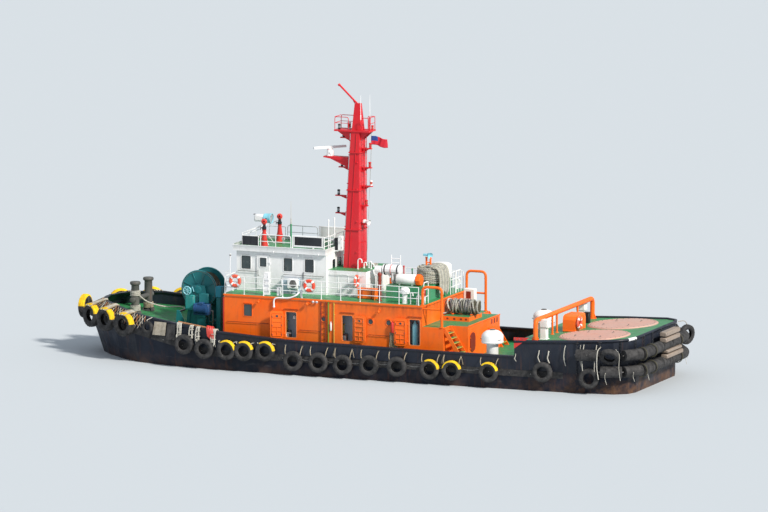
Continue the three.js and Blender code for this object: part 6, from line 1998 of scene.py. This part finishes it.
# Slatted grille in a frame: right x up points out of the wall
def louvre(kit, centre, right, wide, tall, slot=0, slats=6):
    centre, right, up = Vector(centre), Vector(right), upBy(1)
    out = right.cross(up)
    loop = roundedLoop(centre, right, up, wide, tall, 0.02, 2)
    raisedFrame(kit, loop, out, 0.02, 0.02, 0.02, slot=slot)
    for k in range(slats):
        z = tall * ((k + 0.5) / slats - 0.5)
        a = centre + up * (z + 0.02) + out * 0.002
        b = centre + up * (z - 0.02) + out * 0.03
        strip = [a - right * (wide / 2 - 0.02), a + right * (wide / 2 - 0.02), b + right * (wide / 2 - 0.02),
                 b - right * (wide / 2 - 0.02)]
        slab(kit, strip, (up * 0.004 + out * 0.002), 0, slot)


# The big hawser on the after casing: one rope coiled in turns (turn, radius, height), and one flaked over it
hawserHeap = {"at": (-3.6, 0.0), "floor": 4.885, "rope": 0.055, "bight": 0.048, "bights": 7, "steps": 48,
              "top": 5.78, "turns": [(0, 0.745, 4.94), (8, 0.73, 5.71), (9, 0.58, 5.77), (10, 0.47, 5.78),
                                     (11, 0.36, 5.79), (12, 0.3, 5.7)]}


def hawserOnCasing():
    h = hawserHeap
    x, y = h["at"]
    turns, steps = h["turns"][-1][0], h["steps"]
    route = []
    for k in range(turns * steps + 1):
        t = k / steps
        a = 2 * math.pi * t
        radius = along(h["turns"], t) * (1 + 0.018 * math.sin(3 * a + 1.3 * t)
                                         + 0.012 * math.sin(5 * a + 3 * t))
        route.append((x + radius * math.cos(a), y + radius * math.sin(a),
                      along(h["turns"], t, 2) + 0.02 * math.sin(2 * a + t)))
    kit = Kit()
    for n in range(turns):
        rope(kit, route[n * steps:(n + 1) * steps + 1], h["rope"], 1 if n % 3 == 1 else 0, 5)
    make(kit, "hawser_heap", "hull", ["paleHawser", "hawser"], ["hawser_stow"])
    core = Kit()
    top = h["top"]
    upright(core, [(0.27, h["floor"]), (0.7, h["floor"]), (0.7, top - 0.1), (0.5, top - 0.04),
                   (0.27, top - 0.08)], x, y, 32, 0, closed=True)
    make(core, "hawser_core", "hull", ["darkRope"])
    # Over the heap, down past the casing's after edge, back up and over again
    kit, points = Kit(), []
    for n in range(h["bights"]):
        v = -0.64 + 0.2 * n
        low = 4.3 - 0.1 * math.sin(n * 1.7)
        there = [(x + 0.3, v * 0.8 + 0.02, top + (0.03 if n else 0.01)), (x + 0.1, v * 0.75, top + 0.06),
                 (x - 0.3, v * 0.9, top + 0.09), (x - 0.64, v, top - 0.02), (x - 0.78, v, top - 0.36),
                 (x - 0.81, v, 5.0), (x - 0.79, v, low + 0.2), (x - 0.77, v + 0.05, low + 0.02)]
        back = [(x - 0.79, v + 0.1, low + 0.2), (x - 0.81, v + 0.1, 5.0), (x - 0.78, v + 0.1, top - 0.36),
                (x - 0.64, v + 0.1, top - 0.04), (x - 0.3, v + 0.1, top + 0.07),
                (x + 0.1, v * 0.75 + 0.1, top + 0.06), (x + 0.34, v * 0.8 + 0.1, top + 0.0)]
        points += there + back
    route = smooth(points, 4)
    part = math.ceil(len(route) / h["bights"])
    for n in range(h["bights"]):
        rope(kit, route[n * part:(n + 1) * part + 1], h["bight"], n % 2, 5)
    make(kit, "hawser_bights", "hull", ["paleHawser", "hawser"])


# The hank on the aft house: one rope in upright turns side by side, lashed in three places
hankShape = {"fore": -4.66, "aft": -6.4, "y": -0.2, "z": 3.61, "radius": 0.4, "rope": 0.052, "turns": 17,
             "steps": 36}


def hawserHank():
    h = hankShape
    steps, route = h["steps"], []
    # Its end lies on the roof
    tail = smooth([(-4.42, 0.42, 3.235), (-4.47, 0.25, 3.235), (-4.56, 0.02, 3.25), (-4.64, -0.12, 3.27)], 4)
    for k in range(h["turns"] * steps + 1):
        u = k / steps
        t = u / h["turns"]
        a = 2 * math.pi * u + math.pi
        size = h["radius"] * (0.86 + 0.1 * math.sin(math.pi * t)) * (1 + 0.06 * math.sin(u * 2.7))
        x = h["fore"] + (h["aft"] - h["fore"]) * t
        x += 0.05 * math.sin(a + u) + 0.1 * math.sin(u * 1.9) * math.cos(a)
        tall = 0.97 + 0.05 * math.cos(a)
        route.append((x, h["y"] + size * 1.02 * math.sin(a), h["z"] + size * tall * math.cos(a)))
    kit = Kit()
    rope(kit, list(tail) + route[:1], h["rope"], 0, 5)
    for n in range(h["turns"]):
        rope(kit, route[n * steps:(n + 1) * steps + 1], h["rope"], n % 2 if n % 5 else 2, 5)
    route = list(tail) + route
    make(kit, "hawser_hank", "hull", ["hawser", "greyRope", "whiteRope"], ["deck_hawser"])
    ties = Kit()
    body = [(0.05, 0.0), (0.3, 0.03), (0.35, 0.3), (0.35, 1.5), (0.3, 1.78), (0.05, 1.8)]
    lathe(ties, body, (h["aft"] - 0.02, h["y"], h["z"] - 0.01), (1, 0, 0), 20, 1)
    for x in (-4.95, -5.5, -6.05):
        turn = [2 * math.pi * i / 24 for i in range(25)]
        loop = [(x + 0.02 * math.sin(a * 2), h["y"] + 0.45 * math.sin(a), h["z"] + 0.44 * math.cos(a))
                for a in turn]
        rope(ties, loop, 0.016, 0, 5)
    # Timber chocks under the hank
    for x in (-4.95, -6.05):
        block(ties, (x - 0.05, -0.6, 3.185), (x + 0.05, 0.2, 3.25), 0.01, 2)
    make(ties, "hank_ties", "hull", ["hawser", "darkRope", "orange"])


casingGear()
hawserOnCasing()
hawserHank()
print("casings and hawsers dressed")


# Round-cornered portals at the break of the deckhouse, with flanged feet and a brace
def portal(s):
    kit = Kit()
    y = s * 3.275
    tube(kit, bent([(-4.425, y, 4.1), (-4.425, y, 5.13), (-5.565, y, 5.13), (-5.565, y, 2.93)], 0.3, 7),
         0.074, 16)
    tube(kit, [(-5.52, y, 3.915), (-4.44, y, 3.915)], 0.055, 12)
    for x, z in ((-4.425, 4.1), (-5.565, 2.93)):
        lathe(kit, [(0.13, 0.001), (0.13, 0.02), (0.076, 0.022), (0.076, 0.06)], (x, y, z), (0, 0, 1), 20)
    for x, z in ((-4.43, 4.75), (-5.56, 4.75), (-5.56, 3.4)):
        lathe(kit, [(0.078, -0.02), (0.084, -0.015), (0.084, 0.015), (0.078, 0.02)], (x, y, z), (0, 0, 1), 18)
    label = sideName(s)
    make(kit, "portal_" + label, "hull", ["orange"], ["portal_frame_" + label])


# Tow beam, its feet and struts, the box vents, the companion's door and the round hatches
companionDoor = (-12.45, 0, 3.05)
domeVent = {"x": -8.8, "y": 3.9}
hatch = {"x": -14.13, "y": 2.18, "slope": 0.0507}
towBeam = {"x": -11.5, "half": 4.35, "top": 3.84, "radius": 0.13, "struts": (1.8, 1.12, -2.05)}


def sternGear():
    kit = Kit()
    b = towBeam
    x, y, foot = b["x"], b["half"], sternZ(b["x"])
    hoop(kit, (x, y, foot), (x, -y, foot), (0, 0, b["top"] - foot), 0.3, 8, b["radius"], 20)
    for v in (y, -y):
        lathe(kit, [(0.24, 0.0), (0.24, 0.03), (0.13, 0.032), (0.13, 0.1)], (x, v, foot), (0, 0, 1), 24)
        for at in ringOf((x, v, foot), (1, 0, 0), (0, 1, 0), 0.19, 8):
            lathe(kit, [(0.02, 0.03), (0.02, 0.05), (0, 0.052)], at, (0, 0, 1), 6, 1)
        for way in (1, -1):
            slab(kit, [(x + way * 0.12, v - 0.012, foot + 0.03), (x + way * 0.23, v - 0.012, foot + 0.03),
                       (x + way * 0.12, v - 0.012, foot + 0.3)], (0, 0.024, 0))
    for v in b["struts"]:
        tube(kit, [(x, v, foot), (x, v, b["top"])], 0.055, 12)
        lathe(kit, [(0.11, 0.0), (0.11, 0.02), (0.056, 0.022)], (x, v, foot), (0, 0, 1), 16)
    make(kit, "tow_arch", "hull", ["orange", "steel"], ["tow_beam"])
    for label, low, high in (("port", (-12.0, 3.35, 3.36), (-11.52, 3.82, 3.79)),
                             ("starboard", (-11.4, -3.82, 3.26), (-10.9, -3.35, 3.72))):
        kit = Kit()
        z0 = sternZ(low[0])
        block(kit, low, high, 0.02)
        block(kit, (low[0] - 0.02, low[1] - 0.02, high[2] - 0.03),
              (high[0] + 0.02, high[1] + 0.02, high[2] + 0.012), 0.008)
        block(kit, (low[0] + 0.12, low[1] + 0.04, z0 - 0.02),
              (high[0] - 0.03, high[1] - 0.03, low[2] + 0.01), 0.012)
        block(kit, (low[0] + 0.06, low[1], z0 - 0.02), (high[0] + 0.02, high[1], z0 + 0.02), 0.006)
        side = high[1] if low[1] > 0 else low[1]
        s = 1 if low[1] > 0 else -1
        louvre(kit, ((low[0] + high[0]) / 2, side, (low[2] + high[2]) / 2), (-s, 0, 0), 0.36, 0.28, 0, 5)
        make(kit, "box_vent_" + label, "hull", ["vent"], ["stern_vent_" + label])
    kit = Kit()
    # Companion: rounded door in its after face, with hinges and a wheel
    loop = roundedLoop(companionDoor, (0, -1, 0), (0, 0, 1), 1.1, 0.95, 0.2, 6)
    raisedFrame(kit, loop, (-1, 0, 0), 0.03, 0.022, 0.02)
    lathe(kit, [(0.1, 0.03), (0.115, 0.04), (0.1, 0.05)], companionDoor, (-1, 0, 0), 20, 1, closed=True)
    for v in (-0.5, 0.5):
        for z in (2.8, 3.3):
            block(kit, (-12.49, v - 0.05, z - 0.02), (-12.449, v + 0.05, z + 0.02), 0.006)
    for v in (-0.82, 0.82):
        block(kit, (-12.43, v - 0.012, 2.75), (-11.74, v + 0.012, 2.79), 0.004)
    # Black locker and a cleat row on the stern deck
    block(kit, (-12.0, -2.75, sternZ(-12) - 0.02), (-11.7, -2.45, 3.3), 0.02, 3)
    block(kit, (-12.02, -2.77, 3.28), (-11.68, -2.43, 3.33), 0.01, 3)
    lathe(kit, [(0.07, 0), (0.06, 0.3), (0.09, 0.33), (0.09, 0.38), (0, 0.4)], (-11.1, 2.9, sternZ(-11.1)),
          (0, 0, 1), 16, 2)
    # Red wedge plate at the forward end of the raised deck
    at, out = outside(-10.45, 0.02, 0)
    for s in (1, -1):
        y = s * (at.y + 0.004)
        slab(kit, [(-10.38, y, 2.9), (-11.28, y, 2.92), (-10.4, y, 2.28)], (0, s * 0.02, 0), 0.004, 4)
        for k in range(3):
            tube(kit, [(-10.5 - 0.22 * k, y + s * 0.02, 2.88),
                       (-10.47 - 0.22 * k, y + s * 0.05, 2.7 + 0.05 * k)], 0.014, 6, slot=2)
    make(kit, "stern_deck_fittings", "hull", ["orange", "steel", "steel", "black", "red"])
    kit = Kit()
    tilt = Vector((math.sin(hatch["slope"]), 0, math.cos(hatch["slope"])))
    across = Vector((0, 1, 0))
    ahead = across.cross(tilt)
    handle = across * 0.09
    for s in (1, -1):
        at = Vector((hatch["x"], s * hatch["y"], sternZ(hatch["x"])))
        lathe(kit, [(1.86, 0.058), (1.862, 0.075), (1.9, 0.07), (1.92, 0.04), (1.96, 0.03), (1.97, 0.0)],
              at, tilt, 72, 0)
        lathe(kit, [(1.5, 0.059), (1.505, 0.066), (1.52, 0.066), (1.525, 0.059)], at, tilt, 64, 0)
        for p in ringOf(at, ahead, across, 1.78, 36):
            lathe(kit, [(0.03, 0.058), (0.03, 0.08), (0, 0.083)], p, tilt, 6, 1)
        for a in (0.6, 2.2, 3.9, 5.4):
            p = at + ahead * (1.1 * math.cos(a)) + across * (1.1 * math.sin(a)) + tilt * 0.06
            hoop(kit, p - handle, p + handle, tilt * 0.07, 0.03, 4, 0.014, 6, 1)
    make(kit, "hatch_rims", "hull", ["hatch", "steel"])
    for s in (1, -1):
        kit = Kit()
        label = sideName(s)
        at = (domeVent["x"], s * domeVent["y"], 0)
        rows = [(0.4, 1.101), (0.4, 1.13), (0.335, 1.14), (0.328, 1.2), (0.326, 2.3), (0.35, 2.37),
                (0.58, 2.385), (0.6, 2.41), (0.603, 2.5), (0.603, 2.77), (0.585, 2.83), (0.5, 2.95),
                (0.35, 3.05), (0.15, 3.095), (0, 3.1)]
        lathe(kit, rows, at, (0, 0, 1), 48)
        lathe(kit, [(0.606, 2.43), (0.616, 2.44), (0.616, 2.47), (0.606, 2.48)], at, (0, 0, 1), 48)
        lathe(kit, [(0.16, 3.08), (0.16, 3.12), (0.12, 3.14), (0, 3.145)], at, (0, 0, 1), 24, 1)
        for out in ringOf((0, 0, 0), (1, 0, 0), (0, 1, 0), 1, 3, 0.5):
            p = Vector(at) + out * 0.6 + upBy(2.62)
            side = Vector((-out.y, out.x, 0)) * 0.08
            hoop(kit, p - side, p + side, out * 0.06, 0.02, 4, 0.011, 6, 1)
        make(kit, "dome_vent_" + label, "hull", ["vent", "steel"], ["mushroom_vent_" + label])


# Stair treads, slots and box of the aft house, things in the doorways and on the walls
def aftGear():
    kit = Kit()
    for s in (1, -1):
        for i in range(6):
            t = (i + 0.7) / 6.5
            x, z = -6.82 + 1.09 * t, 1.1 + 1.7 * t
            sideBlock(kit, s, (x - 0.1, x + 0.105), (2.475, 3.275), (z + 0.021, z + 0.028), 0.002, 1)
            sideBlock(kit, s, (x - 0.116, x - 0.109), (2.475, 3.275), (z - 0.018, z + 0.03), 0.002, 2)
    for v in (-1.15, -1.55, -1.95):
        block(kit, (-6.772, v - 0.09, 2.58), (-6.758, v + 0.09, 2.84), 0.004, 3)
    block(kit, (-6.79, -2.37, 2.9), (-6.75, 2.37, 2.965), 0.008)
    block(kit, (-7.1, -1.2, 2.0), (-6.77, -0.55, 2.42), 0.02)
    # Coaming edge with its slots, and the white ventilation box beside the portal
    for x in (-4.9, -5.3, -5.7, -6.0):
        block(kit, (x - 0.06, 0.776, 3.0), (x + 0.06, 0.786, 3.1), 0.003, 3)
    block(kit, (-5.1, -3.1, 3.52), (-4.46, -2.7, 4.2), 0.02, 4)
    block(kit, (-4.9, -2.705, 3.66), (-4.62, -2.69, 4.06), 0.004, 3)
    # Gas bottle, bulkheads and consoles that show through the doorways
    upright(kit, [(0.17, 1.12), (0.175, 1.18), (0.175, 2.85), (0.15, 2.98), (0.08, 3.05), (0.05, 3.08),
                  (0.05, 3.16), (0, 3.17)], -3.86, 2.98, 24, 5)
    for x in (3.6, 0.2, -3.9):
        low = max(-4.3, x - 0.8)
        block(kit, (low, 2.72, 1.12), (x + 0.9, 2.76, 3.85), 0.01, 6)
        if low < x - 0.5:
            block(kit, (x, 2.76, 1.3), (x + 0.4, 3.0, 2.2), 0.02, 9)
            block(kit, (x + 0.05, 3.0, 1.8), (x + 0.35, 3.02, 2.1), 0.01, 4)
        tube(kit, bent([(x + 0.2, 2.94, 1.12), (x + 0.2, 2.94, 2.7), (x + 0.2, 2.78, 2.7)], 0.06), 0.035,
             10, slot=2)
    lathe(kit, [(0.03, 0), (0.09, 0.02), (0.1, 0.12), (0.06, 0.2), (0, 0.22)], (3.32, 2.98, 2.84),
          (0, 0, 1), 16, 4)
    tube(kit, bent([(3.78, 3.06, 1.12), (3.78, 3.06, 2.05), (3.5, 3.06, 2.05)], 0.06), 0.03, 10, slot=4)
    block(kit, (-0.24, 3.29, 1.28), (0.36, 3.36, 1.36), 0.008, 8)
    # Extinguisher and a hank of rope on the wall
    upright(kit, [(0.07, 2.5), (0.095, 2.53), (0.095, 3.0), (0.06, 3.08), (0.025, 3.1), (0.025, 3.17),
                  (0, 3.18)], -2.72, 3.47, 18, 8)
    for z in (2.62, 2.92):
        block(kit, (-2.84, 3.352, z - 0.02), (-2.6, 3.42, z + 0.02), 0.005, 9)
    for k in range(7):
        v = -2.92 + 0.06 * k
        low = 1.62 + 0.06 * math.sin(k * 2.2)
        path = [(v + 0.02, 3.37, 2.5), (v, 3.42, 2.46), (v - 0.03, 3.44, 2.1), (v - 0.05, 3.43, low + 0.1),
                (v, 3.43, low), (v + 0.04, 3.42, low + 0.12), (v + 0.03, 3.41, 2.1), (v + 0.03, 3.39, 2.5)]
        rope(kit, smooth(path, 4), 0.02, 10, 5)
    used = ["orange", "casing", "yellow", "darkRed", "vent", "paleBlue", "greyBlue", "teal", "red", "steel",
            "rope"]
    make(kit, "aft_house_fittings", "hull", used)


# Over the bulwark beside the foredeck: rope bundles, a pole, a hose bight, a small tyre and a belting plate
def foreRail():
    kit = Kit()
    for x, wide in ((9.62, 4), (8.82, 3), (8.4, 3), (7.42, 4)):
        _, out = outside(x, 0, 0)
        run = Vector((out.y, -out.x, 0))
        cap = bulwarkCap(x) + upBy(0.045)
        for k in range(wide):
            side = run * (0.075 * (k - (wide - 1) / 2))
            sway = run * (0.05 * math.sin(k * 2.6 + x))
            low = 0.78 + 0.1 * math.sin(k * 1.9 + x)
            line = [cap + side - out * 0.22 - upBy(0.22), cap + side - out * 0.2, cap + side,
                    cap + side + out * 0.1, cap + side * 1.1 + sway + out * 0.17 - upBy(0.3),
                    cap + side * 0.8 + sway * 1.5 + out * 0.2 - upBy(low)]
            rope(kit, smooth(line, 5), 0.04, 0, 6)
        for dz in (0.2, 0.5):
            lathe(kit, [(0.12, -0.02), (0.14, 0.0), (0.12, 0.02)], cap + out * 0.15 - upBy(dz), (0, 0, 1),
                  14, 0, closed=True)
    a, b = bulwarkCap(9.75) + Vector((0, -0.05, 0.09)), bulwarkCap(7.9) + Vector((0, -0.05, 0.09))
    tube(kit, [a, a.lerp(b, 0.5), b], 0.048, 12, slot=1)
    for k in range(6):
        x = 7.86 - 0.07 * k
        cap = bulwarkCap(x)
        line = [cap + Vector((0, -0.3, -0.18)), cap + Vector((0.02, -0.12, 0.16)),
                cap + Vector((0, 0.06, 0.15 + 0.03 * (k % 2))), cap + Vector((-0.05, 0.17, -0.1)),
                cap + Vector((-0.1, 0.19, -0.36 - 0.05 * (k % 3)))]
        tube(kit, smooth(line, 5), 0.034, 8, slot=2)
    at, out = outside(11.55, 0.2, 2.12)
    tyre(kit, at, out, 0.34, 0.17, 0.2, slot=3)
    rope(kit, smooth([bulwarkCap(11.55), at + out * 0.02 + upBy(0.4), at + upBy(0.32)], 5), 0.022, 0)
    for x0, x1, low, high, slot in ((11.3, 10.5, 1.7, 2.42, 4), (10.42, 9.86, 1.5, 2.36, 3)):
        rows = []
        for k in range(6):
            x = x0 + (x1 - x0) * k / 5
            face = bulwarkFace(x, low)
            top = bulwarkFace(x, high)
            _, out = outside(x, 0, 0)
            lift = out * (0.05 + 0.015 * math.sin(k * 1.7))
            rows.append((face + lift, top + lift))
        for (f0, t0), (f1, t1) in zip(rows, rows[1:]):
            slab(kit, [f0, f1, t1, t0], Vector((0, 0.035, 0)), 0.004, slot)
    tube(kit, [(7.47, 3.3, 1.3), (7.47, 3.3, 3.9)], 0.04, 10, slot=2)
    make(kit, "fore_rail_gear", "hull", ["whiteRope", "orangeRope", "red", "rubber", "belting"])


looks["belting"] = ropeLook("oldBelting", (0.46, 0.42, 0.35), (0.30, 0.26, 0.20))
for s in (1, -1):
    portal(s)
sternGear()
aftGear()
foreRail()
print("stern, aft house and rail gear placed")
